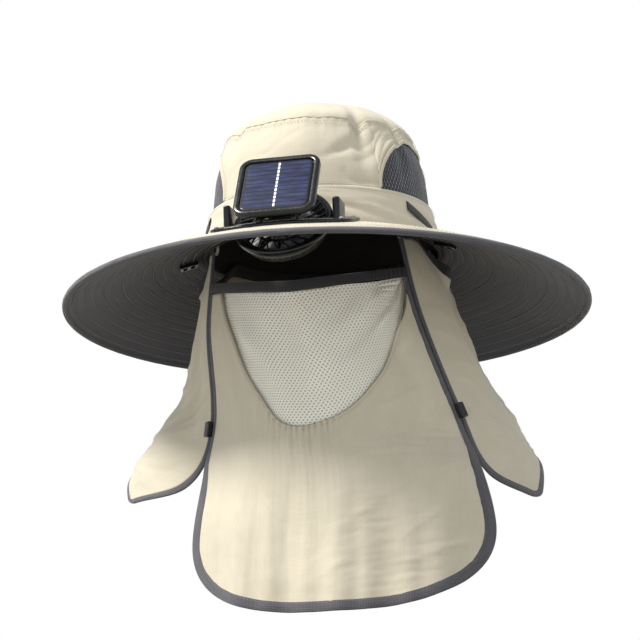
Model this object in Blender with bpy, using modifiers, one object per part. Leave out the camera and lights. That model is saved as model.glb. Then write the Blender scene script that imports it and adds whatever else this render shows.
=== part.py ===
"""A sun hat with a solar fan in its brim, a neck cape and a face mask.

Metres, +Z up. The hat faces -Y and the wearer's left is +X. The origin is the
centre of the head opening, level with the foot of the crown.
"""

from bisect import bisect_right
from math import atan2, cos, degrees, pi, radians, sin, sqrt
from typing import NamedTuple

import bmesh
import bpy
from mathutils import Matrix, Vector

# Cloth and gaps
SEAM_GAP = 0.0003
WIDE_GAP = 0.0008
CLOTH = 0.0015
MESH_CLOTH = 0.0012
BINDING_CLOTH = 0.0022
BINDING_WIDTH = 0.008

# Crown
CROWN_HALF_WIDTH = 0.095
CROWN_HALF_LENGTH = 0.109
BAND_HEIGHT = 0.030
BAND_DROP = 0.004
BAND_CLOTH = 0.002
TOP_SEAM_HEIGHT = 0.089
CROWN_HEIGHT = 0.119
DOME_POWER = 1.65
VENT_FRONT_DEG = 45.0
VENT_BACK_DEG = 119.0
VENT_RISE = 0.050
VENT_OVERLAP = 0.004

# Brim
BRIM_HALF_WIDTH = 0.213
BRIM_HALF_LENGTH = 0.226
BRIM_SET_BACK = 0.011
BRIM_DROOP = 0.044
BRIM_DROOP_BACK = 0.013
BRIM_BEND = 0.2
BRIM_BINDING_WIDTH = 0.005
BRIM_BINDING_HEIGHT = 0.0066

# Fan unit
FAN_X = 0.002
FAN_Y = -0.1455
FAN_DROP = 0.0135
FAN_TILT_DEG = 52.0
FAN_RADIUS = 0.038
FAN_DEPTH = 0.016
FAN_RING_WALL = 0.0035
FAN_REAR_RADIUS = 0.0300
FAN_WAIST = 0.0045
GRILLE_SHEET = 0.0016
GRILLE_INSET = 0.0004
GRILLE_HUB_RADIUS = 0.0125
GRILLE_BAR = 0.0016
GRILLE_WINDOWS = 12
GRILLE_TWIST_DEG = 24.0
MOTOR_RADIUS = 0.0105
MOTOR_DEPTH = 0.0042
SHAFT_RADIUS = 0.0012
SHAFT_PLAY = 0.0004
ROTOR_HUB_RADIUS = 0.012
ROTOR_RADIUS = 0.0272
ROTOR_DEPTH = 0.0054
ROTOR_BLADES = 7
BLADE_CHORD = 0.0095
BLADE_SHEET = 0.0012
BLADE_PITCH_DEG = 28.0
RUNNING_GAP = 0.0008

# Fan frame
FLANGE_SHEET = 0.0025
FLANGE_HALF_WIDTH = 0.055
FLANGE_HALF_LENGTH = 0.0325
CLOTH_HOLE_MARGIN = 0.0075
CLOTH_HOLE_FRONT = 0.0025
HOLE_CUT_REACH = 0.080
FLANGE_SHIFT = 0.0025
OPENING_HALF_LENGTH = 0.0248
OPENING_SHIFT = 0.0067
OPENING_PLAY = 0.0010
OPENING_POWER = 6.0
EAR_WALL = 0.0055
EAR_LENGTH = 0.022
EAR_RISE = 0.022
EAR_SINK = 0.007
PIVOT_RADIUS = 0.0024
PIVOT_PLAY = 0.0004

# Solar panel
PANEL_SIZE = 0.062
PANEL_CORNER = 0.010
PANEL_DEPTH = 0.005
PANEL_TILT_DEG = 56.0
PANEL_RIM = 0.0045
CELL_RECESS = 0.0012
CELL_SHEET = 0.0010
HINGE_SETBACK = 0.0045
HINGE_UP = 0.010
HINGE_BEHIND = 0.0060
HINGE_LIFT = 0.0056
HINGE_RADIUS = 0.0030
HINGE_PIN_RADIUS = 0.0015
HINGE_PIN_PLAY = 0.0004
HINGE_HALF_WIDTH = 0.011
LUG_WALL = 0.004
LUG_HALF_LENGTH = 0.0035
KNUCKLE_SHOULDER = 0.002
JOINT_DEPTH = 0.0005

# Neck cape
CAPE_REACH = 0.100
CAPE_DROP = 0.200
CAPE_SAG = 0.027
CAPE_SAG_OUT = 0.012
CAPE_SAG_DEG = 88.0
CAPE_SAG_WIDTH_DEG = 30.0
CAPE_CORNER = 0.014
TOP_BAND_WIDTH = 0.009

# Face mask
MASK_REACH = 0.100
MASK_HALF_WIDTH = 0.110
MASK_DROP = 0.300
MASK_NOSE = 0.053
MASK_TEMPLE = 0.034
MASK_CHIN = 0.161
MASK_SIDE_HEM = 0.232
MASK_VENT_SHARE = 0.83
MASK_VENT_POWER = 1.8
MASK_HEM_POWER = 2.6
MASK_OVERLAP = 0.005
MASK_TUCK = 0.0012
MASK_TOP_WIDTH = 0.009
CLIP_HEIGHT = -0.150
FREE_BELOW_CLIP = 0.006
FREE_FADE = 0.055

# Small fittings
CLIP_WIDTH = 0.0064
CLIP_LENGTH = 0.012
CLIP_DEPTH = 0.004
CLIP_GAP = 0.0012
SNAP_RADIUS = 0.0045
SNAP_SHARE = 0.018
SNAP_DEPTH = 0.0025
STRAP_WIDTH = 0.008
STRAP_FRONT_DEG = 60.0
STRAP_BACK_DEG = 80.0
STRAP_TOP = 0.024
STRAP_FALL = 0.014
BUCKLE_WIDTH = 0.012
BUCKLE_LENGTH = 0.015
BUCKLE_DEPTH = 0.0028
BUCKLE_DEG = 74.0
BUCKLE_OUT = 0.012

AROUND = 40
FINE_TURN = 32


class Level(NamedTuple):
    """One level of the cape: radii are shares of its reach, heights of its drop."""
    share: float
    edge_deg: float
    front: float
    side: float
    rear: float
    back: float
    front_z: float
    side_z: float
    rear_z: float
    back_z: float


CAPE_STATIONS = (0.0, 0.2, 0.55, 1.0)
CAPE_LEFT = (
    #     share  edge  front side  rear  back  heights
    Level(0.00, 50.0, 0.00, 0.00, 0.00, 0.00, -0.04, -0.02, -0.02, -0.02),
    Level(0.25, 53.0, 1.08, 1.08, 1.12, 1.14, -0.34, -0.30, -0.28, -0.28),
    Level(0.55, 57.0, 1.38, 1.34, 1.26, 1.20, -0.75, -0.64, -0.50, -0.60),
    Level(0.80, 66.0, 1.47, 1.50, 1.37, 1.26, -0.98, -0.78, -0.62, -0.83),
    Level(1.00, 84.0, 1.69, 1.66, 1.46, 1.31, -1.07, -0.88, -0.78, -1.05),
)
CAPE_RIGHT = (
    Level(0.00, 52.0, 0.00, 0.00, 0.00, 0.00, -0.04, -0.02, -0.02, -0.02),
    Level(0.25, 53.0, 1.01, 1.04, 1.10, 1.14, -0.34, -0.30, -0.28, -0.28),
    Level(0.55, 49.0, 1.03, 1.12, 1.18, 1.20, -0.75, -0.60, -0.49, -0.60),
    Level(0.80, 56.0, 1.22, 1.38, 1.32, 1.26, -0.97, -0.74, -0.60, -0.83),
    Level(1.00, 84.0, 1.63, 1.76, 1.50, 1.31, -0.99, -0.83, -0.76, -1.05),
)


class Fold(NamedTuple):
    """A fold that runs down a cloth: where it lies, how wide and how deep it is."""
    place: float
    width: float
    depth: float
    start: float
    end: float


CAPE_FOLDS_LEFT = (
    Fold(72.0, 13.0, 0.055, 0.05, 0.60),
    Fold(97.0, 12.0, -0.110, 0.10, 0.75),
    Fold(118.0, 15.0, 0.060, 0.25, 1.30),
    Fold(145.0, 18.0, -0.050, 0.20, 1.30),
)
CAPE_FOLDS_RIGHT = (
    Fold(68.0, 12.0, -0.050, 0.15, 0.80),
    Fold(92.0, 13.0, 0.060, 0.20, 0.90),
    Fold(120.0, 16.0, -0.055, 0.20, 1.30),
    Fold(150.0, 18.0, 0.045, 0.20, 1.30),
)


class MaskSection(NamedTuple):
    """One height of the mask: the height is a share of its drop, the rest of its reach."""
    height: float
    right_x: float
    right_y: float
    left_x: float
    left_y: float
    middle_y: float
    power: float


MASK_SECTIONS = (
    #           height right_x right_y left_x left_y middle_y power
    MaskSection(0.10, -0.76, -0.62, 0.76, -0.63, -1.19, 1.7),
    MaskSection(0.33, -0.79, -0.63, 0.96, -0.74, -1.22, 1.8),
    MaskSection(0.50, -0.78, -0.71, 1.14, -0.80, -1.25, 2.0),
    MaskSection(0.62, -0.81, -0.86, 1.31, -0.90, -1.34, 2.2),
    MaskSection(0.78, -0.87, -0.99, 1.43, -0.96, -1.44, 2.4),
    MaskSection(1.00, -0.90, -1.05, 1.44, -1.02, -1.52, 2.4),
)
MASK_FOLDS = (
    Fold(-0.62, 0.16, 0.040, 0.50, 1.40),
    Fold(-0.28, 0.15, -0.045, 0.55, 1.40),
    Fold(0.05, 0.14, 0.040, 0.55, 1.40),
    Fold(0.36, 0.15, -0.040, 0.60, 1.40),
    Fold(0.68, 0.14, 0.035, 0.50, 1.40),
)

CROWN_PROFILE = (
    # share of the seam's height, share of the crown's half width
    (-0.10, 1.000),
    (0.00, 1.000),
    (0.34, 0.942),
    (0.72, 0.895),
    (1.00, 0.806),
)


def glide(place, knots, values, flat_end=False):
    """Reads a smooth curve through the values at the knots."""
    last = len(knots) - 1
    i = max(0, min(last - 1, bisect_right(knots, place) - 1))
    step = knots[i + 1] - knots[i]
    share = (place - knots[i]) / step

    def slope(k):
        if k == last and flat_end:
            return 0.0
        low = max(0, k - 1)
        high = min(last, k + 1)
        return (values[high] - values[low]) / (knots[high] - knots[low])

    s2 = share * share
    s3 = s2 * share
    return ((2 * s3 - 3 * s2 + 1) * values[i] + (s3 - 2 * s2 + share) * step * slope(i)
            + (3 * s2 - 2 * s3) * values[i + 1] + (s3 - s2) * step * slope(i + 1))


def hump(offset):
    """A smooth bump: 1 in the middle, 0 from one width away."""
    if abs(offset) >= 1:
        return 0.0
    return (1 + cos(pi * offset)) / 2


def spread(first, last, count):
    """Evenly spaced values, both ends included."""
    return [first + (last - first) * i / count for i in range(count + 1)]


def ellipse_radius(deg, half_x, half_y):
    """The distance from the middle of an ellipse to its edge at an angle from the front."""
    turn = radians(deg)
    return 1 / sqrt((sin(turn) / half_x) ** 2 + (cos(turn) / half_y) ** 2)


def polar(deg, radius, height):
    """A point by its angle from the front towards the wearer's left, radius and height."""
    turn = radians(deg)
    return Vector((radius * sin(turn), -radius * cos(turn), height))


def clear_scene():
    for old in list(bpy.data.objects):
        bpy.data.objects.remove(old, do_unlink=True)


def material(name, colour, roughness, metallic=0.0):
    """A plain Principled finish."""
    finish = bpy.data.materials.new(name)
    finish.use_nodes = True
    shader = finish.node_tree.nodes["Principled BSDF"]
    shader.inputs["Base Color"].default_value = (*colour, 1.0)
    shader.inputs["Roughness"].default_value = roughness
    shader.inputs["Metallic"].default_value = metallic
    return finish


def add_object(name, bm, finish, hat, smooth=True):
    """Turns a bmesh into a named object of the hat."""
    mesh = bpy.data.meshes.new(name)
    bm.to_mesh(mesh)
    bm.free()
    if smooth:
        mesh.shade_smooth()
        mesh.set_sharp_from_angle(angle=radians(40))
    mesh.materials.append(finish)
    piece = bpy.data.objects.new(name, mesh)
    hat.objects.link(piece)
    return piece


def solidify(piece, thickness):
    wall = piece.modifiers.new("Wall", "SOLIDIFY")
    wall.thickness = thickness
    wall.offset = 0.0
    return wall


def bent_grid(place, columns, rows, keep=None, closed=False):
    """A grid of faces whose corners are put where place(column, row) says."""
    bm = bmesh.new()
    last_column = len(columns) - 1
    last_row = len(rows) - 1
    bmesh.ops.create_grid(bm, x_segments=last_column, y_segments=last_row, size=0.5)
    if keep:
        unwanted = []
        for face in bm.faces:
            middle = face.calc_center_median()
            column = int((middle.x + 0.5) * last_column)
            row = int((middle.y + 0.5) * last_row)
            if not keep(column, row):
                unwanted.append(face)
        bmesh.ops.delete(bm, geom=unwanted, context="FACES")
    for corner in bm.verts:
        column = round((corner.co.x + 0.5) * last_column)
        row = round((corner.co.y + 0.5) * last_row)
        corner.co = place(columns[column], rows[row])
    if closed:
        bmesh.ops.remove_doubles(bm, verts=bm.verts, dist=1e-6)
    return bm


def sheet(name, place, columns, rows, thickness, finish, hat, keep=None, closed=False):
    """A cloth wall over a bent grid."""
    bm = bent_grid(place, columns, rows, keep, closed)
    piece = add_object(name, bm, finish, hat)
    solidify(piece, thickness)
    return piece


def solid_box(size, middle, turn=None):
    """A box of a size at a place."""
    bm = bmesh.new()
    bmesh.ops.create_cube(bm, size=1.0)
    spot = Matrix.Translation(middle) @ (turn or Matrix.Identity(4))
    bmesh.ops.transform(bm, matrix=spot @ Matrix.Diagonal((*size, 1.0)), verts=bm.verts)
    return bm


def solid_rod(radius, length, matrix, sides=16):
    """A round rod along the Z axis of a matrix."""
    bm = bmesh.new()
    bmesh.ops.create_cone(bm, cap_ends=True, segments=sides, radius1=radius, radius2=radius,
                          depth=length, matrix=matrix)
    return bm


def combine(piece, bm, operation, cutters):
    """Joins a shape to a piece, or cuts it out, with a Boolean."""
    mesh = bpy.data.meshes.new(piece.name + "_tool")
    bm.to_mesh(mesh)
    bm.free()
    tool = bpy.data.objects.new(piece.name + "_tool", mesh)
    cutters.objects.link(tool)
    tool.hide_render = True
    tool.display_type = "WIRE"
    step = piece.modifiers.new(operation.title(), "BOOLEAN")
    step.operation = operation
    step.object = tool
    step.solver = "EXACT"
    return tool


def crown_share(height):
    """The crown's half width at a height, as a share of its foot."""
    if height <= TOP_SEAM_HEIGHT:
        knots = [row[0] for row in CROWN_PROFILE]
        values = [row[1] for row in CROWN_PROFILE]
        return glide(height / TOP_SEAM_HEIGHT, knots, values)
    rise = min(1.0, (height - TOP_SEAM_HEIGHT) / (CROWN_HEIGHT - TOP_SEAM_HEIGHT))
    return CROWN_PROFILE[-1][1] * (1 - rise ** DOME_POWER) ** (1 / DOME_POWER)


def crown_point(deg, height, inward=0.0):
    """A point of the crown's middle surface, moved inward by a length."""
    share = crown_share(height)
    turn = radians(deg)
    half_x = CROWN_HALF_WIDTH * share - inward
    half_y = CROWN_HALF_LENGTH * share - inward
    return Vector((half_x * sin(turn), -half_y * cos(turn), height))


def vent_height(deg):
    """The height of the side vent's arched edge, or the band's top outside it."""
    middle = (VENT_FRONT_DEG + VENT_BACK_DEG) / 2
    half = (VENT_BACK_DEG - VENT_FRONT_DEG) / 2
    offset = min(1.0, abs(abs(deg) - middle) / half)
    return BAND_HEIGHT + VENT_RISE * sqrt(1 - offset ** 2.2)


def crown_columns(front, back):
    """Angles along half a crown wall, closer where the vent's edge is steep."""
    middle = (VENT_FRONT_DEG + VENT_BACK_DEG) / 2
    half = (VENT_BACK_DEG - VENT_FRONT_DEG) / 2
    angles = spread(front, middle - half, 5) if front < middle else []
    if front < middle:
        angles += [middle - half * cos(pi / 2 * k / 7) for k in range(1, 7)]
        angles.append(back)
    else:
        angles = [front]
        angles += [middle + half * cos(pi / 2 * k / 7) for k in range(6, 0, -1)]
        angles += spread(middle + half, back, 5)
    return angles


def build_crown(hat, khaki, vent_cloth):
    """The crown's walls, vents, band and top."""
    middle = (VENT_FRONT_DEG + VENT_BACK_DEG) / 2
    seam = degrees(SEAM_GAP / CROWN_HALF_WIDTH)
    top = TOP_SEAM_HEIGHT - WIDE_GAP

    def wall(deg, share):
        low = vent_height(deg) + SEAM_GAP
        return crown_point(deg, low + (top - low) * share, CLOTH / 2)

    quarter = crown_columns(0.0, middle - seam)
    front_columns = [-deg for deg in reversed(quarter[1:])] + quarter
    sheet("crown_front", wall, front_columns, spread(0, 1, 4), CLOTH, khaki, hat)
    quarter = crown_columns(middle + seam, 180.0)
    back_columns = quarter + [360.0 - deg for deg in reversed(quarter[:-1])]

    def back_wall(deg, share):
        return wall(deg if deg <= 180.0 else deg - 360.0, share)

    sheet("crown_back", back_wall, back_columns, spread(0, 1, 4), CLOTH, khaki, hat)

    for side, word in ((1, "left"), (-1, "right")):
        def vent(deg, share, side=side):
            low = BAND_HEIGHT + SEAM_GAP
            high = min(vent_height(deg) + VENT_OVERLAP, TOP_SEAM_HEIGHT - VENT_OVERLAP)
            inward = CLOTH + WIDE_GAP + MESH_CLOTH / 2
            return crown_point(side * deg, low + (high - low) * share, inward)

        columns = spread(VENT_FRONT_DEG - 1.5, VENT_BACK_DEG + 1.5, 14)
        sheet("mesh_panel_" + word, vent, columns, spread(0, 1, 4), MESH_CLOTH, vent_cloth, hat)

    def band(deg, share):
        height = -BAND_DROP + (BAND_HEIGHT + BAND_DROP) * share
        return crown_point(deg, height, BAND_CLOTH / 2)

    turns = spread(0.0, 360.0, AROUND)
    sheet("hat_band", band, turns, (0, 1), BAND_CLOTH, khaki, hat, closed=True)

    def dome(deg, share):
        rise = sin(share * pi / 2)
        height = TOP_SEAM_HEIGHT + (CROWN_HEIGHT - TOP_SEAM_HEIGHT) * rise
        return crown_point(deg, height, CLOTH / 2 * (1 - share))

    sheet("crown_top", dome, turns, spread(0, 1, 4), CLOTH, khaki, hat, closed=True)


def brim_root(deg):
    """The brim's inner radius at an angle, just outside the band."""
    return ellipse_radius(deg, CROWN_HALF_WIDTH, CROWN_HALF_LENGTH) + WIDE_GAP


def brim_angles():
    """Angles round the brim that face the corners of the band."""
    turns = [2 * pi * k / AROUND for k in range(AROUND + 1)]
    angles = [degrees(atan2(CROWN_HALF_WIDTH * sin(turn), CROWN_HALF_LENGTH * cos(turn)))
              for turn in turns]
    return [deg if deg >= 0 else deg + 360.0 for deg in angles[:-1]] + [360.0]


def brim_edge(deg):
    """The brim's outer radius at an angle, seen from the middle of the head opening."""
    turn = radians(deg)
    along = sin(turn) / BRIM_HALF_WIDTH
    ahead = cos(turn) / BRIM_HALF_LENGTH
    back = BRIM_SET_BACK / BRIM_HALF_LENGTH
    square = along ** 2 + ahead ** 2
    return (-ahead * back + sqrt((ahead * back) ** 2 + square * (1 - back ** 2))) / square


def brim_height(x, y):
    """The height of the brim's upper layer over a place on the plan."""
    deg = degrees(atan2(x, -y))
    root = brim_root(deg)
    share = (sqrt(x * x + y * y) - root) / (brim_edge(deg) - root)
    droop = BRIM_DROOP - BRIM_DROOP_BACK * cos(radians(deg))
    return -droop * share * (1 - BRIM_BEND + BRIM_BEND * share)


def brim_point(deg, share, drop=0.0):
    """A point of the brim, by its angle and its share of the way to the edge."""
    radius = brim_root(deg) + (brim_edge(deg) - brim_root(deg)) * share
    spot = polar(deg, radius, 0.0)
    spot.z = brim_height(spot.x, spot.y) - drop
    return spot


def rounded_oval(turn, half_x, half_y, power):
    """A point of a rounded rectangle, by its angle."""
    c = cos(turn)
    s = sin(turn)
    reach = (abs(c) ** power + abs(s) ** power) ** (-1 / power)
    return half_x * c * reach, half_y * s * reach


def build_brim(hat, cutters, khaki, charcoal, binding):
    """Two layers of cloth and the binding round their edge, cut through for the fan."""
    def layer(name, drop, finish):
        def place(deg, share):
            edge = 1 - (BRIM_BINDING_WIDTH + SEAM_GAP) / (brim_edge(deg) - brim_root(deg))
            return brim_point(deg, share * edge, drop)

        piece = sheet(name, place, brim_angles(), spread(0, 1, 3), CLOTH, finish, hat, closed=True)
        combine(piece, brim_hole(), "DIFFERENCE", cutters)

    layer("brim_top", CLOTH / 2, khaki)
    layer("brim_under", CLOTH * 1.5 + SEAM_GAP, charcoal)

    def bar(deg, turn):
        middle = brim_point(deg, 1.0, CLOTH + SEAM_GAP / 2)
        out = polar(deg, 1.0, 0.0)
        across, up = rounded_oval(turn, BRIM_BINDING_WIDTH / 2, BRIM_BINDING_HEIGHT / 2, 3)
        return middle + out * (across - BRIM_BINDING_WIDTH / 2) + Vector((0, 0, up))

    bm = bent_grid(bar, brim_angles(), spread(0.0, 2 * pi, 6), closed=True)
    bmesh.ops.recalc_face_normals(bm, faces=bm.faces)
    add_object("brim_binding", bm, binding, hat)


def fan_hole_half_width():
    return FAN_RADIUS + OPENING_PLAY


def brim_hole():
    """The cutter for the hole in the brim's cloth."""
    bm = bmesh.new()
    half_x = fan_hole_half_width() + CLOTH_HOLE_MARGIN
    middle = FAN_Y + OPENING_SHIFT - CLOTH_HOLE_FRONT
    half_y = OPENING_HALF_LENGTH + 2 * CLOTH_HOLE_FRONT
    points = []
    for k in range(24):
        x, y = rounded_oval(2 * pi * k / 24, half_x, half_y, OPENING_POWER)
        points.append(bm.verts.new((x + FAN_X, y + middle, -HOLE_CUT_REACH)))
    face = bm.faces.new(points)
    grown = bmesh.ops.extrude_face_region(bm, geom=[face])
    lifted = [part for part in grown["geom"] if isinstance(part, bmesh.types.BMVert)]
    bmesh.ops.translate(bm, verts=lifted, vec=(0, 0, 2 * HOLE_CUT_REACH))
    bmesh.ops.recalc_face_normals(bm, faces=bm.faces)
    return bm


def fan_matrix():
    """The fan's own axes: Z along its shaft, towards the front and up."""
    spot = Matrix.Translation((FAN_X, FAN_Y, -FAN_DROP))
    return spot @ Matrix.Rotation(radians(FAN_TILT_DEG), 4, "X")


def fan_piece(name, bm, finish, hat, smooth=True):
    piece = add_object(name, bm, finish, hat, smooth)
    piece.matrix_world = fan_matrix()
    return piece


def turned(profile, sides):
    """A closed ring turned round the Z axis from an outline of (radius, height)."""
    bm = bmesh.new()
    corners = [bm.verts.new((radius, 0, height)) for radius, height in profile]
    edges = [bm.edges.new((a, b)) for a, b in zip(corners, corners[1:] + corners[:1])]
    bmesh.ops.spin(bm, geom=corners + edges, axis=(0, 0, 1), cent=(0, 0, 0), angle=2 * pi,
                   steps=sides)
    bmesh.ops.remove_doubles(bm, verts=bm.verts, dist=1e-6)
    bmesh.ops.recalc_face_normals(bm, faces=bm.faces)
    return bm


def ring_inside(height):
    """The ring's inner radius at a height on the fan's axis: it narrows below its waist."""
    half = FAN_DEPTH / 2
    part = max(0.0, (FAN_WAIST - height) / (FAN_WAIST + half))
    return FAN_RADIUS - FAN_RING_WALL - (FAN_RADIUS - FAN_REAR_RADIUS) * part


def grille(windows_at):
    """A round plate with rows of slanted windows between its spokes."""
    radius = ring_inside(windows_at - GRILLE_SHEET / 2) - SEAM_GAP
    plate = solid_rod(radius, GRILLE_SHEET, Matrix.Translation((0, 0, windows_at)), FINE_TURN)
    holes = bmesh.new()
    inner = GRILLE_HUB_RADIUS
    outer = radius - GRILLE_BAR
    rows = 2
    ring = (outer - inner) / rows
    for row in range(rows):
        low = inner + ring * row + (GRILLE_BAR / 2 if row else 0)
        high = inner + ring * (row + 1) - (GRILLE_BAR / 2 if row < rows - 1 else 0)
        for k in range(GRILLE_WINDOWS):
            corners = []
            for end, reach in ((0, low), (0, high), (1, high), (1, low)):
                share = (reach - inner) / (outer - inner)
                turn = 2 * pi * (k + end) / GRILLE_WINDOWS + radians(GRILLE_TWIST_DEG) * share
                turn += (GRILLE_BAR / 2 / reach) * (1 if end == 0 else -1)
                corners.append((reach * cos(turn), reach * sin(turn)))
            bottom = [holes.verts.new((x, y, windows_at - GRILLE_SHEET)) for x, y in corners]
            face = holes.faces.new(bottom)
            grown = bmesh.ops.extrude_face_region(holes, geom=[face])
            top = [part for part in grown["geom"] if isinstance(part, bmesh.types.BMVert)]
            bmesh.ops.translate(holes, verts=top, vec=(0, 0, 2 * GRILLE_SHEET))
    bmesh.ops.recalc_face_normals(holes, faces=holes.faces)
    return plate, holes


def build_fan(hat, cutters, black, grey):
    """The tilting ring, its two grilles, the motor and the rotor."""
    half = FAN_DEPTH / 2
    wall_radius = FAN_RADIUS - FAN_RING_WALL
    bulge = FAN_RADIUS - FAN_RING_WALL / 3
    profile = [(wall_radius, half), (bulge, half), (FAN_RADIUS, FAN_WAIST),
               (FAN_REAR_RADIUS, -half), (ring_inside(-half), -half), (wall_radius, FAN_WAIST)]
    ring = fan_piece("fan_ring", turned(profile, FINE_TURN), black, hat)
    for side in (1, -1):
        reach = FAN_RADIUS + EAR_WALL + OPENING_PLAY
        start = ring_inside(0.0) + FAN_RING_WALL / 2
        rod = solid_rod(PIVOT_RADIUS, reach - start,
                        Matrix.Translation((side * (reach + start) / 2, 0, 0))
                        @ Matrix.Rotation(pi / 2, 4, "Y"), 12)
        combine(ring, rod, "UNION", cutters).matrix_world = fan_matrix()

    level = half - GRILLE_INSET - GRILLE_SHEET / 2
    for word, height in (("top", level), ("bottom", -level)):
        plate, holes = grille(height)
        piece = fan_piece("fan_grille_" + word, plate, black, hat, smooth=False)
        combine(piece, holes, "DIFFERENCE", cutters).matrix_world = fan_matrix()

    under_grille = level - GRILLE_SHEET / 2 - SEAM_GAP
    can = solid_rod(MOTOR_RADIUS, MOTOR_DEPTH,
                    Matrix.Translation((0, 0, under_grille - MOTOR_DEPTH / 2)), 20)
    motor = fan_piece("fan_motor", can, grey, hat)
    rotor_top = under_grille - MOTOR_DEPTH - RUNNING_GAP
    shaft_end = rotor_top - ROTOR_DEPTH - RUNNING_GAP / 2
    shaft_top = under_grille - MOTOR_DEPTH / 2
    shaft = solid_rod(SHAFT_RADIUS, shaft_top - shaft_end,
                      Matrix.Translation((0, 0, (shaft_top + shaft_end) / 2)), 10)
    combine(motor, shaft, "UNION", cutters).matrix_world = fan_matrix()

    hub_profile = [(SHAFT_RADIUS + SHAFT_PLAY, rotor_top), (ROTOR_HUB_RADIUS, rotor_top),
                   (ROTOR_HUB_RADIUS, rotor_top - ROTOR_DEPTH),
                   (SHAFT_RADIUS + SHAFT_PLAY, rotor_top - ROTOR_DEPTH)]
    rotor = fan_piece("fan_rotor", turned(hub_profile, 21), grey, hat)
    blades = bmesh.new()
    inner = ROTOR_HUB_RADIUS * 0.8
    for k in range(ROTOR_BLADES):
        spin = Matrix.Rotation(2 * pi * k / ROTOR_BLADES, 4, "Z")
        place = spin @ Matrix.Translation(((ROTOR_RADIUS + inner) / 2, 0, rotor_top - ROTOR_DEPTH / 2))
        pitch = place @ Matrix.Rotation(radians(BLADE_PITCH_DEG), 4, "X")
        shape = pitch @ Matrix.Diagonal((ROTOR_RADIUS - inner, BLADE_CHORD, BLADE_SHEET, 1.0))
        bmesh.ops.create_cube(blades, size=1.0, matrix=shape)
    combine(rotor, blades, "UNION", cutters).matrix_world = fan_matrix()


def panel_axes():
    """The hinge pin's middle, and the panel's up and outward directions."""
    tilt = radians(PANEL_TILT_DEG)
    up = Vector((0, cos(tilt), sin(tilt)))
    out = Vector((0, -sin(tilt), cos(tilt)))
    y = FAN_Y + FLANGE_SHIFT - FLANGE_HALF_LENGTH + HINGE_SETBACK
    rise = flange_top(FAN_X, y) + HINGE_LIFT
    return Vector((FAN_X, y, rise)), up, out


def flange_top(x, y):
    """The height of the flange's upper face."""
    return brim_height(x, y) + SEAM_GAP + FLANGE_SHEET


def build_frame(hat, cutters, black):
    """The flange that lies on the brim, the fan's two ears and the panel's two lugs."""
    def place(turn, share):
        x1, y1 = rounded_oval(turn, fan_hole_half_width(), OPENING_HALF_LENGTH, OPENING_POWER)
        x2, y2 = rounded_oval(turn, FLANGE_HALF_WIDTH, FLANGE_HALF_LENGTH, 4)
        x = FAN_X + x1 + (x2 - x1) * share
        y = FAN_Y + (y1 + OPENING_SHIFT) * (1 - share) + (y2 + FLANGE_SHIFT) * share
        return Vector((x, y, flange_top(x, y) - FLANGE_SHEET / 2))

    frame = sheet("fan_frame", place, spread(0, 2 * pi, 24), (0, 1), FLANGE_SHEET, black,
                  hat, closed=True)
    for side in (1, -1):
        x = FAN_X + side * (fan_hole_half_width() + EAR_WALL / 2)
        low = flange_top(x, FAN_Y) - FLANGE_SHEET / 2
        box = solid_box((EAR_WALL, EAR_LENGTH, EAR_RISE), (x, FAN_Y, low + EAR_RISE / 2 - EAR_SINK))
        combine(frame, box, "UNION", cutters)
    bore = solid_rod(PIVOT_RADIUS + PIVOT_PLAY, 4 * FLANGE_HALF_WIDTH,
                     Matrix.Translation((FAN_X, FAN_Y, -FAN_DROP)) @ Matrix.Rotation(pi / 2, 4, "Y"),
                     12)
    combine(frame, bore, "DIFFERENCE", cutters)
    pin = panel_axes()[0]
    for side in (1, -1):
        x = FAN_X + side * (HINGE_HALF_WIDTH + RUNNING_GAP / 2 + LUG_WALL / 2)
        foot = flange_top(x, pin.y) - FLANGE_SHEET / 2
        tall = pin.z + HINGE_RADIUS - foot
        box = solid_box((LUG_WALL, 2 * LUG_HALF_LENGTH, tall), (x, pin.y, foot + tall / 2))
        combine(frame, box, "UNION", cutters)
    bore = solid_rod(HINGE_PIN_RADIUS + HINGE_PIN_PLAY, 4 * HINGE_HALF_WIDTH,
                     Matrix.Translation(pin) @ Matrix.Rotation(pi / 2, 4, "Y"), 12)
    combine(frame, bore, "DIFFERENCE", cutters)


def rounded_plate(size, corner, depth, steps=4):
    """A square plate with round corners, from its back at 0 to its face at depth."""
    bm = bmesh.new()
    half = size / 2
    points = []
    for quarter in range(4):
        turn = quarter * pi / 2
        middle = Vector((half - corner, half - corner, 0))
        middle.rotate(Matrix.Rotation(turn, 4, "Z").to_euler())
        for k in range(steps + 1):
            a = turn + pi / 2 * k / steps
            points.append(bm.verts.new((middle.x + corner * cos(a), middle.y + corner * sin(a), 0)))
    face = bm.faces.new(points)
    grown = bmesh.ops.extrude_face_region(bm, geom=[face])
    lifted = [part for part in grown["geom"] if isinstance(part, bmesh.types.BMVert)]
    bmesh.ops.translate(bm, verts=lifted, vec=(0, 0, depth))
    bmesh.ops.recalc_face_normals(bm, faces=bm.faces)
    return bm


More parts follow.
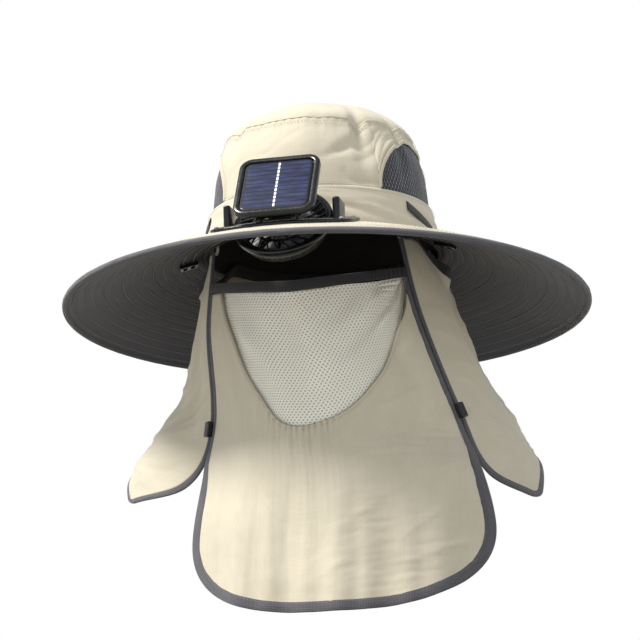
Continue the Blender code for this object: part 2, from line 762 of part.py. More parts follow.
def build_panel(hat, cutters, black, cell_finish):
    """The solar tray with its hinge knuckle and pin, and the cell in its recess."""
    pin, up, out = panel_axes()
    back = pin + out * HINGE_BEHIND
    middle = back + up * (PANEL_SIZE / 2 - HINGE_UP)
    turn = Matrix((Vector((1, 0, 0)), up, out)).transposed().to_4x4()
    spot = Matrix.Translation(middle) @ turn
    tray = add_object("solar_tray", rounded_plate(PANEL_SIZE, PANEL_CORNER, PANEL_DEPTH), black, hat,
                      smooth=False)
    tray.matrix_world = spot
    cell_size = PANEL_SIZE - 2 * PANEL_RIM
    recess = rounded_plate(cell_size, PANEL_CORNER * 0.6, PANEL_DEPTH)
    recess_tool = combine(tray, recess, "DIFFERENCE", cutters)
    recess_tool.matrix_world = spot @ Matrix.Translation((0, 0, PANEL_DEPTH - CELL_RECESS - CELL_SHEET))
    across = Matrix.Translation(pin) @ Matrix.Rotation(pi / 2, 4, "Y")
    combine(tray, solid_rod(HINGE_RADIUS, 2 * HINGE_HALF_WIDTH, across, 12), "UNION", cutters)
    arm_turn = Matrix.Translation(pin + out * HINGE_BEHIND / 2) @ turn
    arm = solid_box((2 * (HINGE_HALF_WIDTH - KNUCKLE_SHOULDER), 2 * (HINGE_RADIUS - JOINT_DEPTH),
                     HINGE_BEHIND + 2 * JOINT_DEPTH), (0, 0, 0), arm_turn)
    combine(tray, arm, "UNION", cutters)
    pin_length = 2 * (HINGE_HALF_WIDTH + RUNNING_GAP / 2 + LUG_WALL + JOINT_DEPTH)
    combine(tray, solid_rod(HINGE_PIN_RADIUS, pin_length, across, 12), "UNION", cutters)
    plate = rounded_plate(cell_size - 2 * SEAM_GAP, PANEL_CORNER * 0.6 - SEAM_GAP, CELL_SHEET)
    cell = add_object("solar_cell", plate, cell_finish, hat, smooth=False)
    level = PANEL_DEPTH - CELL_RECESS - CELL_SHEET + SEAM_GAP
    cell.matrix_world = spot @ Matrix.Translation((0, 0, level))


def cape_rim(deg):
    """The radius where the cape's top lies inside the band."""
    share = crown_share(0.0)
    inward = BAND_CLOTH + WIDE_GAP + BINDING_CLOTH / 2
    return ellipse_radius(deg, CROWN_HALF_WIDTH * share - inward, CROWN_HALF_LENGTH * share - inward)


def cape_point(across, down):
    """A point of the cape: across runs from the left front edge to the right one."""
    left = across <= 0.5
    levels = CAPE_LEFT if left else CAPE_RIGHT
    folds = CAPE_FOLDS_LEFT if left else CAPE_FOLDS_RIGHT
    side = 1 if left else -1
    share = 2 * across if left else 2 * (1 - across)
    edge = glide(down, [row.share for row in levels], [row.edge_deg for row in levels])
    deg = edge + (180.0 - edge) * share
    radii = []
    heights = []
    for row in levels:
        stations = (row.front, row.side, row.rear, row.back)
        radii.append(CAPE_REACH * glide(share, CAPE_STATIONS, stations, flat_end=True))
        lifts = (row.front_z, row.side_z, row.rear_z, row.back_z)
        heights.append(CAPE_DROP * glide(share, CAPE_STATIONS, lifts, flat_end=True))
    radii[0] = cape_rim(deg)
    knots = [row.share for row in levels]
    radius = glide(down, knots, radii)
    height = glide(down, knots, heights)
    for fold in folds:
        strength = hump((deg - fold.place) / fold.width)
        if fold.start < down:
            grow = sin(pi * (down - fold.start) / (fold.end - fold.start)) if down < fold.end else 0.0
            radius += CAPE_REACH * fold.depth * strength * grow
    sag = hump((deg - CAPE_SAG_DEG) / CAPE_SAG_WIDTH_DEG) * (1 - down) ** 4
    radius += CAPE_SAG_OUT * sag ** 3
    height -= CAPE_SAG * sag
    return polar(side * deg, radius, height)


def cape_band_point(across, share):
    """A point of the band along the cape's top, which carries on the cloth's own lean."""
    low = cape_point(across, 0.0)
    up = (low - cape_point(across, 0.12)).normalized()
    return low + up * (WIDE_GAP + TOP_BAND_WIDTH * share)


def share_at(points, distance):
    """The share along a line of points that lies a distance from its first point."""
    for k, (a, b) in enumerate(zip(points, points[1:])):
        step = (b - a).length
        if distance <= step:
            return (k + distance / step) / (len(points) - 1)
        distance -= step
    return 1.0


def cape_place(column, row):
    """A point of the cape's grid.

    A column is a share of the width or a distance from the left or right front edge. A row is a
    share of the drop, a distance from the hem or a share of the top band. Near the two lower
    corners the outline is rounded.
    """
    side, aside = column
    level, fall = row
    if side != "share" and level == "hem":
        u = max(0.0, 1 - aside / CAPE_CORNER)
        v = max(0.0, 1 - fall / CAPE_CORNER)
        aside = CAPE_CORNER * (1 - u * sqrt(1 - v * v / 2))
        fall = CAPE_CORNER * (1 - v * sqrt(1 - u * u / 2))
    across = aside
    if side != "share":
        down = {"share": fall, "hem": 1.0, "band": 0.0}[level]
        start = 0.0 if side == "left" else 1.0
        reach = 0.25 if side == "left" else -0.25
        line = [cape_point(start + reach * k / 24, down) for k in range(25)]
        across = start + reach * share_at(line, aside)
    if level == "band":
        return cape_band_point(across, fall)
    if level == "share":
        return cape_point(across, fall)
    line = [cape_point(across, 1 - k / 40) for k in range(41)]
    return cape_point(across, 1 - share_at(line, fall))


def build_cape(hat, cloth, binding):
    """The cape, the binding round its free edge and the band along its top."""
    inner = BINDING_WIDTH + WIDE_GAP
    edges = (0.0, BINDING_WIDTH, inner, CAPE_CORNER)
    columns = [("left", aside) for aside in edges]
    columns += [("share", share) for share in spread(0.045, 0.955, 28)]
    columns += [("right", aside) for aside in reversed(edges)]
    rows = [("band", 1.0), ("band", 0.0)]
    rows += [("share", share) for share in spread(0.0, 0.86, 7)]
    rows += [("hem", fall) for fall in reversed(edges)]
    last = len(columns) - 2
    bottom = len(rows) - 2

    def in_band(column, row):
        return row == 0

    def in_cloth(column, row):
        return 2 <= column <= last - 2 and 2 <= row <= bottom - 2

    def in_binding(column, row):
        return row >= 2 and (column in (0, last) or row == bottom)

    sheet("cape_top_band", cape_place, columns, rows, BINDING_CLOTH, binding, hat, keep=in_band)
    sheet("neck_cape", cape_place, columns, rows, CLOTH, cloth, hat, keep=in_cloth)
    sheet("cape_binding", cape_place, columns, rows, BINDING_CLOTH, binding, hat, keep=in_binding)


def cape_front(side, height):
    """The cape's front edge at a height."""
    across = 0.0 if side > 0 else 1.0
    low = 0.0
    high = 0.8
    for _ in range(30):
        middle = (low + high) / 2
        if cape_point(across, middle).z > height:
            low = middle
        else:
            high = middle
    return cape_point(across, low)


def mask_edge(side, height):
    """The mask's side edge at a height: beside the cape's edge above the clip, free below."""
    knots = [-MASK_DROP * row.height for row in reversed(MASK_SECTIONS)]
    if side > 0:
        xs = [MASK_REACH * row.left_x for row in reversed(MASK_SECTIONS)]
        ys = [MASK_REACH * row.left_y for row in reversed(MASK_SECTIONS)]
    else:
        xs = [MASK_REACH * row.right_x for row in reversed(MASK_SECTIONS)]
        ys = [MASK_REACH * row.right_y for row in reversed(MASK_SECTIONS)]
    free = Vector((glide(height, knots, xs), glide(height, knots, ys), height))
    tied = cape_front(side, max(height, CAPE_DROP * -0.9))
    inward = Vector((-side * 0.25, -1.0, 0)).normalized()
    tied = tied + inward * (SEAM_GAP * 2 + BINDING_CLOTH / 2)
    tied.z = height
    blend = min(1.0, max(0.0, (CLIP_HEIGHT + FREE_BELOW_CLIP - height) / FREE_FADE))
    blend = blend * blend * (3 - 2 * blend)
    return tied.lerp(free, blend)


def mask_point(share, height, behind=0.0):
    """A point of the mask by its share of the width and its height."""
    left = mask_edge(1, height)
    right = mask_edge(-1, height)
    knots = [-MASK_DROP * row.height for row in reversed(MASK_SECTIONS)]
    middle = MASK_REACH * glide(height, knots, [row.middle_y for row in reversed(MASK_SECTIONS)])
    power = glide(height, knots, [row.power for row in reversed(MASK_SECTIONS)])
    edge = left if share > 0 else right
    x = (left.x + right.x) / 2 + (left.x - right.x) / 2 * share
    y = middle + (edge.y - middle) * abs(share) ** power
    for fold in MASK_FOLDS:
        depth = -height / MASK_DROP
        if depth > fold.start:
            grow = sin(pi / 2 * min(1.0, (depth - fold.start) / (1 - fold.start)))
            y -= MASK_REACH * fold.depth * hump((share - fold.place) / fold.width) * grow
    spot = Vector((x, y, height))
    if behind:
        step = mask_point(share + 0.02, height) - mask_point(share - 0.02, height)
        spot += Vector((-step.y, step.x, 0)).normalized() * behind
    return spot


def mask_top(share):
    """The height of the mask's top edge."""
    return -MASK_NOSE + (MASK_NOSE - MASK_TEMPLE) * abs(share) ** 1.5


def mask_vent(share):
    """The height of the mesh insert's lower edge, or of the top edge beside it."""
    offset = min(1.0, abs(share) / MASK_VENT_SHARE)
    top = mask_top(share)
    return -MASK_CHIN + (top + MASK_CHIN) * (1 - sqrt(1 - offset ** MASK_VENT_POWER))


def mask_outline(turn, inset):
    """The mask's outline below its top corners as (share, height), by a turn from 0 to 1."""
    side = -1 if turn < 0.5 else 1
    part = 2 * min(turn, 1 - turn)
    reach = 1 - inset / MASK_HALF_WIDTH
    straight = 0.35
    if part < straight:
        start = mask_top(reach) - WIDE_GAP
        height = start + (-MASK_SIDE_HEM - start) * part / straight
        return side * reach, height
    angle = pi / 2 * (part - straight) / (1 - straight)
    depth = MASK_DROP - MASK_SIDE_HEM - inset
    across = cos(angle) ** (2 / MASK_HEM_POWER)
    fall = sin(angle) ** (2 / MASK_HEM_POWER)
    return side * reach * across, -MASK_SIDE_HEM - depth * fall


def mask_hem(share, inset):
    """The height of the mask's lower edge at a share of its width."""
    offset = min(1.0, abs(share) / (1 - inset / MASK_HALF_WIDTH))
    depth = MASK_DROP - MASK_SIDE_HEM - inset
    return -MASK_SIDE_HEM - depth * (1 - offset ** MASK_HEM_POWER) ** (1 / MASK_HEM_POWER)


def build_mask(hat, cloth, mesh_cloth, binding):
    """The mesh insert, the skirt round it, and their bindings."""
    inset = BINDING_WIDTH + WIDE_GAP
    edge = 1 - inset / MASK_HALF_WIDTH
    half = [0.0, 0.15, 0.3, 0.45, 0.57, 0.67, 0.75, 0.8, MASK_VENT_SHARE, 0.87, 0.9, edge]
    shares = [-value for value in reversed(half[1:])] + half

    def skirt(share, part):
        top = mask_vent(share) - SEAM_GAP
        return mask_point(share, top + (mask_hem(share, inset) - top) * part)

    sheet("mask_skirt", skirt, shares, spread(0, 1, 8), CLOTH, cloth, hat)

    reach = MASK_VENT_SHARE + 0.04
    tuck = CLOTH + SEAM_GAP + MASK_TUCK

    def insert(share, part):
        top = mask_top(share)
        low = mask_vent(share) - MASK_OVERLAP
        return mask_point(share, top + (low - top) * part, tuck)

    sheet("mask_mesh", insert, spread(-reach, reach, 14), spread(0, 1, 5), MESH_CLOTH, mesh_cloth, hat)

    def hem_band(turn, part):
        share, height = mask_outline(turn, BINDING_WIDTH * (1 - part))
        return mask_point(share, height)

    sheet("mask_hem_binding", hem_band, spread(0, 1, 46), (0, 1), BINDING_CLOTH, binding, hat)

    def top_band(share, part):
        height = mask_top(share)
        spot = mask_point(share, height)
        return spot + Vector((0, 0, SEAM_GAP + MASK_TOP_WIDTH * part))

    sheet("mask_top_binding", top_band, spread(-1, 1, 22), (0, 1), BINDING_CLOTH, binding, hat)


def build_fittings(hat, cutters, black, white):
    """Clips, snaps, side straps and buckles."""
    for side, word in ((1, "left"), (-1, "right")):
        edge = cape_front(side, CLIP_HEIGHT)
        beside = mask_edge(side, CLIP_HEIGHT)
        behind = cape_place(("left" if side > 0 else "right", BINDING_WIDTH), ("share", 0.55))
        along = (mask_point(side * 0.9, CLIP_HEIGHT) - behind) * Vector((1, 1, 0))
        up = cape_front(side, CLIP_HEIGHT + CLIP_LENGTH) - cape_front(side, CLIP_HEIGHT - CLIP_LENGTH)
        out = along.cross(up).normalized() * -side
        up.normalize()
        spot = (edge + beside) / 2 + out * (BINDING_CLOTH / 2 + CLIP_GAP + CLIP_DEPTH / 2)
        turn = Matrix((up.cross(out), up, out)).transposed().to_4x4()
        clip = solid_box((CLIP_WIDTH, CLIP_LENGTH, CLIP_DEPTH), (0, 0, 0), Matrix.Translation(spot) @ turn)
        add_object("mask_clip_" + word, clip, black, hat, smooth=False)

        place = SNAP_SHARE if side > 0 else 1 - SNAP_SHARE
        rim = cape_band_point(place, 0.5)
        along = cape_band_point(place + 0.01, 0.5) - cape_band_point(place - 0.01, 0.5)
        up = cape_band_point(place, 1.0) - cape_band_point(place, 0.0)
        inward = up.cross(along).normalized()
        turn = Matrix((up.cross(inward).normalized(), up.normalized(), inward)).transposed().to_4x4()
        spot = rim + inward * (BINDING_CLOTH / 2 + WIDE_GAP + SNAP_DEPTH / 2)
        snap = solid_rod(SNAP_RADIUS, SNAP_DEPTH, Matrix.Translation(spot) @ turn, 12)
        add_object("cape_snap_" + word, snap, white, hat)

        def strap(deg, share, side=side):
            part = (deg - STRAP_FRONT_DEG) / (STRAP_BACK_DEG - STRAP_FRONT_DEG)
            height = STRAP_TOP - STRAP_FALL * part - STRAP_WIDTH * share
            return crown_point(side * deg, height, -(CLOTH / 2 + SEAM_GAP))

        sheet("side_strap_" + word, strap, spread(STRAP_FRONT_DEG, STRAP_BACK_DEG, 6), (0, 1), CLOTH,
              black, hat)

        radius = brim_root(side * BUCKLE_DEG) + BUCKLE_OUT
        spot = polar(side * BUCKLE_DEG, radius, 0.0)
        under = brim_height(spot.x, spot.y) - 2 * CLOTH - 2 * SEAM_GAP
        slope = (brim_height(spot.x * 1.05, spot.y * 1.05) - brim_height(spot.x, spot.y)) / (radius * 0.05)
        out = Vector((spot.x, spot.y, 0)).normalized()
        lean = (out + Vector((0, 0, slope))).normalized()
        along = Vector((-out.y, out.x, 0))
        normal = lean.cross(along)
        turn = Matrix((lean, along, normal)).transposed().to_4x4()
        middle = Vector((spot.x, spot.y, under)) - Vector((0, 0, BUCKLE_DEPTH / 2 + WIDE_GAP))
        place = Matrix.Translation(middle) @ turn
        plate = solid_box((BUCKLE_LENGTH, BUCKLE_WIDTH, BUCKLE_DEPTH), (0, 0, 0), place)
        buckle = add_object("side_buckle_" + word, plate, black, hat, smooth=False)
        for shift in (-1, 1):
            slot = solid_box((BUCKLE_LENGTH * 0.22, BUCKLE_WIDTH * 0.66, BUCKLE_DEPTH * 3), (0, 0, 0),
                             place @ Matrix.Translation((shift * BUCKLE_LENGTH * 0.22, 0, 0)))
            combine(buckle, slot, "DIFFERENCE", cutters)


def main():
    clear_scene()
    hat = bpy.data.collections.new("fan_hat")
    cutters = bpy.data.collections.new("cutters")
    bpy.context.scene.collection.children.link(hat)
    bpy.context.scene.collection.children.link(cutters)
    khaki = material("khaki_cloth", (0.50, 0.44, 0.32), 0.8)
    charcoal = material("charcoal_lining", (0.045, 0.045, 0.055), 0.75)
    vent_cloth = material("navy_air_mesh", (0.035, 0.04, 0.06), 0.85)
    binding = material("grey_binding", (0.06, 0.058, 0.07), 0.8)
    white_mesh = material("white_mesh", (0.78, 0.77, 0.70), 0.8)
    black = material("black_plastic", (0.012, 0.012, 0.013), 0.3)
    grey = material("grey_plastic", (0.08, 0.08, 0.085), 0.4)
    cell_finish = material("blue_cell", (0.03, 0.04, 0.12), 0.15)
    white = material("white_snap", (0.7, 0.7, 0.68), 0.4)
    build_crown(hat, khaki, vent_cloth)
    build_brim(hat, cutters, khaki, charcoal, binding)
    build_frame(hat, cutters, black)
    build_fan(hat, cutters, black, grey)
    build_panel(hat, cutters, black, cell_finish)
    build_cape(hat, khaki, binding)
    build_mask(hat, khaki, white_mesh, binding)
    build_fittings(hat, cutters, black, white)


main()
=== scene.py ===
"""The looks of a wide-brimmed sun hat with a solar fan, a neck cape and a face mask.

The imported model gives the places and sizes, and this script dresses it. Metres, +Z up. The hat
faces -Y, the wearer's left is +X, and the origin is the middle of the head opening.
"""

import logging
from bisect import bisect_right
from contextlib import contextmanager
from dataclasses import dataclass, field
from enum import Enum
from itertools import groupby
from math import atan2, cos, degrees, exp, pi, radians, sin, sqrt
from typing import Any, Callable, Iterable, Iterator, NamedTuple, Sequence

import bmesh
import bpy
import numpy as np
from mathutils import Matrix, Vector, noise

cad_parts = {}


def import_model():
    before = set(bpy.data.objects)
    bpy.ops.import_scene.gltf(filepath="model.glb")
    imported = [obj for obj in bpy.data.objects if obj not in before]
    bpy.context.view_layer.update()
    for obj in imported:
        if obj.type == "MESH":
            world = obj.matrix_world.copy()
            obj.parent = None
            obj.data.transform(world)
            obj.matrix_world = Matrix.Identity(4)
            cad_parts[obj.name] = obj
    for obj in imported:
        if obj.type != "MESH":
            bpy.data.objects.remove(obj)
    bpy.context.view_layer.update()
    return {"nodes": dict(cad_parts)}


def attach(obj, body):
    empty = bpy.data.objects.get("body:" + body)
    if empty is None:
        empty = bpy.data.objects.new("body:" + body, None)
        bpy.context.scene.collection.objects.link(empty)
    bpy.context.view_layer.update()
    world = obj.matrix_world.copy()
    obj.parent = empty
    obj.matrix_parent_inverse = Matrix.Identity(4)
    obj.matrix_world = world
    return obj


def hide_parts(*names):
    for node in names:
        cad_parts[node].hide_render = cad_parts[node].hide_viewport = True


LOG = logging.getLogger("fan_hat")
FLAT = "flat"
SHARP_DEG = 40.0
BEVEL_DEG = 35.0
SIDES = ((1, "left"), (-1, "right"))

Place = Callable[[Any, Any], Vector]
Relief = Callable[[Any, Any, float, float], float]
Colour = tuple[float, float, float]


class Body(Enum):
    """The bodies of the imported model."""

    HAT = "hat"
    FAN = "fan"
    ROTOR = "rotor"
    PANEL = "panel"


class Slot(Enum):
    """The record's material slots."""

    KHAKI = "khaki_cloth"
    LINING = "charcoal_lining"
    BINDING = "grey_binding"
    AIR_MESH = "navy_air_mesh"
    BIRDSEYE = "white_mesh"
    BLACK = "black_plastic"
    GREY = "grey_plastic"
    CELL = "solar_cell"
    SNAP = "white_plastic"
    WEBBING = "black_webbing"


def glide(place: float, knots: Sequence[float], values: Sequence[float], flat_end: bool = False) -> float:
    """Reads a smooth curve through the values at the knots.

    Args:
        place: Where to read the curve.
        knots: The places of the values, in rising order.
        values: The values at the knots.
        flat_end: Whether the curve ends level.

    Returns:
        The curve's value at the place.
    """
    last = len(knots) - 1
    i = max(0, min(last - 1, bisect_right(knots, place) - 1))
    step = knots[i + 1] - knots[i]
    share = (place - knots[i]) / step

    def slope(k: int) -> float:
        """The curve's slope at a knot."""
        if k == last and flat_end:
            return 0.0
        low = max(0, k - 1)
        high = min(last, k + 1)
        return (values[high] - values[low]) / (knots[high] - knots[low])

    s2 = share * share
    s3 = s2 * share
    return (
        (2 * s3 - 3 * s2 + 1) * values[i]
        + (s3 - 2 * s2 + share) * step * slope(i)
        + (3 * s2 - 2 * s3) * values[i + 1]
        + (s3 - s2) * step * slope(i + 1)
    )


def hump(offset: float) -> float:
    """A smooth bump: 1 in the middle, 0 from one width away."""
    return 0.0 if abs(offset) >= 1 else (1 + cos(pi * offset)) / 2


def ease(share: float) -> float:
    """A smooth step from 0 to 1, held outside that range."""
    share = min(1.0, max(0.0, share))
    return share * share * (3 - 2 * share)


def spread(first: float, last: float, count: int) -> list[float]:
    """Evenly spaced values, both ends included."""
    return [first + (last - first) * i / count for i in range(count + 1)]


def crumple(u: float, v: float, wide: float, tall: float, seed: float) -> float:
    """Smooth unevenness of a cloth, from about -1 to 1, with lumps of the given size."""
    return noise.noise(Vector((u / wide, v / tall, seed)))


def crease(u: float, v: float, wide: float, tall: float, seed: float) -> float:
    """Sharp-backed creases of the given size: 1 along a crease, 0 between creases."""
    return max(0.0, 1 - 3.2 * abs(crumple(u, v, wide, tall, seed))) ** 1.5


def ellipse_radius(deg: float, half_x: float, half_y: float) -> float:
    """The distance from an ellipse's middle to its edge, at an angle from the front."""
    turn = radians(deg)
    return 1 / sqrt((sin(turn) / half_x) ** 2 + (cos(turn) / half_y) ** 2)


def polar(deg: float, radius: float, height: float) -> Vector:
    """A point by its angle from the front towards the wearer's left, radius and height."""
    turn = radians(deg)
    return Vector((radius * sin(turn), -radius * cos(turn), height))


def rounded_oval(turn: float, half_x: float, half_y: float, power: float) -> tuple[float, float]:
    """A point of a rounded rectangle, by its angle."""
    c = cos(turn)
    s = sin(turn)
    reach = (abs(c) ** power + abs(s) ** power) ** (-1 / power)
    return half_x * c * reach, half_y * s * reach


def math_node(operation: str, swapped: bool = False) -> Callable[..., "Wire"]:
    """A method of Wire that adds a Math node, with its inputs swapped where Python swaps them."""

    def method(self: "Wire", *others: Any) -> "Wire":
        """The node's result."""
        sockets = dict(enumerate((*others, self) if swapped else (self, *others)))
        return self.nodes.node("ShaderNodeMath", {"operation": operation}, sockets)

    return method


class Wire:
    """A shader value, which Python's operators extend with Math nodes."""

    __add__ = math_node("ADD")
    __radd__ = __add__
    __sub__ = math_node("SUBTRACT")
    __rsub__ = math_node("SUBTRACT", swapped=True)
    __mul__ = math_node("MULTIPLY")
    __truediv__ = math_node("DIVIDE")
    __pow__ = math_node("POWER")
    sine = math_node("SINE")
    size = math_node("ABSOLUTE")
    whole = math_node("FLOOR")
    part = math_node("FRACT")

    def __init__(self, nodes: "ShaderNodes", socket: bpy.types.NodeSocket) -> None:
        """Wraps an output socket of a tree."""
        self.nodes = nodes
        self.socket = socket

    def step(self, low: float, high: float) -> "Wire":
        """A smooth step from 0 at low to 1 at high."""
        limits = {"Value": self, "From Min": low, "From Max": high, "To Min": 0.0, "To Max": 1.0}
        node = self.nodes.raw("ShaderNodeMapRange", {"interpolation_type": "SMOOTHSTEP"}, limits)
        return Wire(self.nodes, node.outputs["Result"])


class ShaderNodes:
    """A shader's node tree."""

    def __init__(self, tree: bpy.types.NodeTree) -> None:
        """Takes the tree."""
        self.tree = tree

    def raw(self, kind: str, settings: dict | None = None, values: dict | None = None) -> bpy.types.Node:
        """Adds a node of any type.

        Args:
            kind: The node's type.
            settings: Its own settings, set first. "stops" gives a ramp's (place, colour) pairs.
            values: What each socket, by name or number, is linked or set to.

        Returns:
            The node.
        """
        node = self.tree.nodes.new(kind)
        for key, value in (settings or {}).items():
            if key == "stops":
                ramp = node.color_ramp.elements
                while len(ramp) < len(value):
                    ramp.new(0.5)
                for stop, (place, colour) in zip(ramp, value):
                    stop.position = place
                    stop.color = (*colour, 1.0)
            else:
                setattr(node, key, value)
        for key, value in (values or {}).items():
            self.plug(node.inputs[key], value)
        return node

    def node(self, kind: str, settings: dict | None = None, values: dict | None = None) -> Wire:
        """Adds a node and returns its first output, with Args as those of raw."""
        return Wire(self, self.raw(kind, settings, values).outputs[0])

    def plug(self, socket: bpy.types.NodeSocket, value: Any) -> None:
        """Links a socket to a wire, or sets it to a number, colour or vector."""
        if isinstance(value, Wire):
            self.tree.links.new(value.socket, socket)
        elif socket.type == "RGBA" and len(value) == 3:
            socket.default_value = (*value, 1.0)
        else:
            socket.default_value = value


class Dye(ShaderNodes):
    """One material's node tree, with the surface's Principled shader."""

    def __init__(self, name: str) -> None:
        """Starts a material."""
        self.material = bpy.data.materials.new(name)
        self.material.use_nodes = True
        super().__init__(self.material.node_tree)
        self.shader = self.tree.nodes["Principled BSDF"]

    def mix(self, factor: Any, first: Any, second: Any) -> Wire:
        """A colour between two colours."""
        node = self.raw("ShaderNodeMix", {"data_type": "RGBA"}, {0: factor, 6: first, 7: second})
        return Wire(self, node.outputs[2])

    def flat(self) -> tuple[Wire, Wire, Wire]:
        """The cloth's flat coordinates in metres, whole, across and down."""
        spot = self.node("ShaderNodeUVMap", {"uv_map": FLAT})
        parts = self.raw("ShaderNodeSeparateXYZ", None, {0: spot})
        return spot, Wire(self, parts.outputs[0]), Wire(self, parts.outputs[1])

    def reach(self) -> Wire:
        """The distance from the object's upright axis, in metres."""
        place = self.raw("ShaderNodeSeparateXYZ", None, {"Vector": self.solid()})
        return (Wire(self, place.outputs["X"]) ** 2 + Wire(self, place.outputs["Y"]) ** 2) ** 0.5

    def solid(self) -> Wire:
        """The place on the object, in metres."""
        return Wire(self, self.raw("ShaderNodeTexCoord").outputs["Object"])

    def grain(self, spot: Wire, scale: tuple[float, float, float], detail: float = 2.0) -> Wire:
        """Noise over a place, with its own scale along each axis.

        Args:
            spot: The place.
            scale: How many lumps there are in a metre, along each axis.
            detail: How many finer layers it has.

        Returns:
            The noise, from 0 to 1.
        """
        place = self.node("ShaderNodeMapping", None, {"Vector": spot, "Scale": scale})
        return self.node(
            "ShaderNodeTexNoise", None, {"Vector": place, "Scale": 1.0, "Detail": detail, "Roughness": 0.55}
        )

    def bump(self, height: Wire, distance: float, strength: float = 1.0) -> None:
        """Raises the surface by a height from 0 to 1, times a distance in metres."""
        node = self.node("ShaderNodeBump", None, {"Strength": strength, "Distance": distance, "Height": height})
        self.plug(self.shader.inputs["Normal"], node)

    def paint(self, **values: Any) -> None:
        """Sets or links the shader's sockets, named with _ for a space."""
        for key, value in values.items():
            self.plug(self.shader.inputs[key.replace("_", " ")], value)


@dataclass(frozen=True)
class Cloth:
    """Woven cloth with slubs along both threads and, where asked, painted shade that darkens it towards its middle.
    """

    name: str
    light: Colour
    dark: Colour
    roughness: float = 0.82
    sheen: float = 0.25
    thread: float = 0.0009
    depth: float = 0.00007
    # how strongly painted shade darkens the cloth towards the object's upright axis
    painted_inner_shade: float = 0.0

    def make(self) -> bpy.types.Material:
        """Builds the cloth's material."""
        dye = Dye(self.name)
        spot, across, down = dye.flat()
        warp = dye.grain(spot, (1 / self.thread, 28.0, 1.0), 3.0)
        weft = dye.grain(spot, (28.0, 1 / self.thread, 1.0), 3.0)
        cloudy = dye.grain(spot, (22.0, 22.0, 1.0), 3.0)
        mixed = warp * 0.32 + weft * 0.32 + cloudy * 0.36
        shade = dye.mix(mixed.step(0.30, 0.70), self.dark, self.light)
        # painted shade: darker towards the middle of the brim's underside, near the head
        if self.painted_inner_shade:
            shade = dye.mix(dye.reach().step(0.21, 0.10) * self.painted_inner_shade, shade, (0.002, 0.002, 0.002))
        dye.paint(
            Base_Color=shade,
            Roughness=self.roughness + (mixed - 0.5) * 0.18,
            Sheen_Weight=self.sheen,
            Sheen_Roughness=0.45,
        )
        weave = (across * (2 * pi / self.thread)).sine() * (down * (2 * pi / self.thread)).sine()
        dye.bump(warp + weft + weave * 0.25, self.depth)
        return dye.material


@dataclass(frozen=True)
class Ribbed:
    """Binding tape or webbing, with ribs across its length."""

    name: str
    light: Colour
    dark: Colour
    rib: float = 0.0011
    depth: float = 0.00022

    def make(self) -> bpy.types.Material:
        """Builds the tape's material."""
        dye = Dye(self.name)
        spot, across, down = dye.flat()
        ribs = (across * (2 * pi / self.rib)).sine() * 0.5 + 0.5
        rows = (down * (2 * pi / (self.rib * 1.7))).sine() * 0.5 + 0.5
        worn = dye.grain(spot, (60.0, 300.0, 1.0), 3.0)
        dye.paint(
            Base_Color=dye.mix((ribs * 0.35 + worn * 0.65).step(0.3, 0.75), self.dark, self.light),
            Roughness=0.78 + (worn - 0.5) * 0.2,
            Sheen_Weight=0.2,
            Sheen_Roughness=0.4,
        )
        dye.bump(ribs * 0.7 + rows * 0.3 + worn * 0.4, self.depth)
        return dye.material


@dataclass(frozen=True)
class Holed:
    """Knitted mesh with staggered rows of small round holes. Its paler yarn colour is random tone, held to the ribs
    as a painted glint where asked, and its holes carry painted shade.
    """

    name: str
    yarn: Colour
    # a paler yarn colour: random tone, and on the ribs a painted glint
    pale_tone_and_glint: Colour
    # painted shade: the holes' colour stands in for the dim space seen through them
    hole: Colour
    pitch: float
    row: float
    open: float
    depth: float
    roughness: float = 0.75
    rib_glint: float = 0.0

    def make(self) -> bpy.types.Material:
        """Builds the mesh's material."""
        dye = Dye(self.name)
        spot, across, down = dye.flat()
        rows = down / self.row
        shift = (rows.whole() * 0.5).part()
        aside = ((across / self.pitch + shift).part() - 0.5) * self.pitch
        below = (rows.part() - 0.5) * self.row
        reach = (aside ** 2 + (below * 1.15) ** 2) ** 0.5
        cloth = reach.step(self.open * 0.55, self.open * 1.15)
        fibres = dye.grain(spot, (900.0, 500.0, 1.0), 2.0)
        cloudy = dye.grain(spot, (25.0, 25.0, 1.0), 2.0)
        # painted highlight: the upright ribs between the holes get the glint colour
        rib = (aside.size() / self.pitch).step(0.26, 0.44) * below.size().step(self.row * 0.5, self.row * 0.2)
        tone_and_glint = (fibres * 0.5 + cloudy * 0.5).step(0.35, 0.7) * (1.0 - self.rib_glint + rib * self.rib_glint)
        yarn = dye.mix(tone_and_glint, self.yarn, self.pale_tone_and_glint)
        dye.paint(
            # painted shade fills the holes
            Base_Color=dye.mix(cloth, self.hole, yarn),
            Roughness=self.roughness + (fibres - 0.5) * 0.2,
            Sheen_Weight=0.15,
            Sheen_Roughness=0.4,
        )
        dye.bump(cloth + fibres * 0.2, self.depth)
        return dye.material


@dataclass(frozen=True)
class Moulded:
    """Moulded plastic with a fine skin, scuffs and dust."""

    name: str
    light: Colour
    dark: Colour
    roughness: float
    coat: float = 0.0
    skin: float = 0.00004

    def make(self) -> bpy.types.Material:
        """Builds the plastic's material."""
        dye = Dye(self.name)
        spot = dye.solid()
        scuffs = dye.grain(spot, (900.0, 260.0, 420.0), 4.0)
        dust = dye.grain(spot, (60.0, 60.0, 60.0), 4.0)
        dye.paint(
            Base_Color=dye.mix(dust.step(0.42, 0.72), self.dark, self.light),
            Roughness=self.roughness + scuffs.step(0.5, 0.8) * 0.22 + (dust - 0.5) * 0.08,
            Coat_Weight=self.coat,
            Coat_Roughness=0.08,
            Specular_IOR_Level=0.32,
        )
        dye.bump(scuffs, self.skin)
        return dye.material


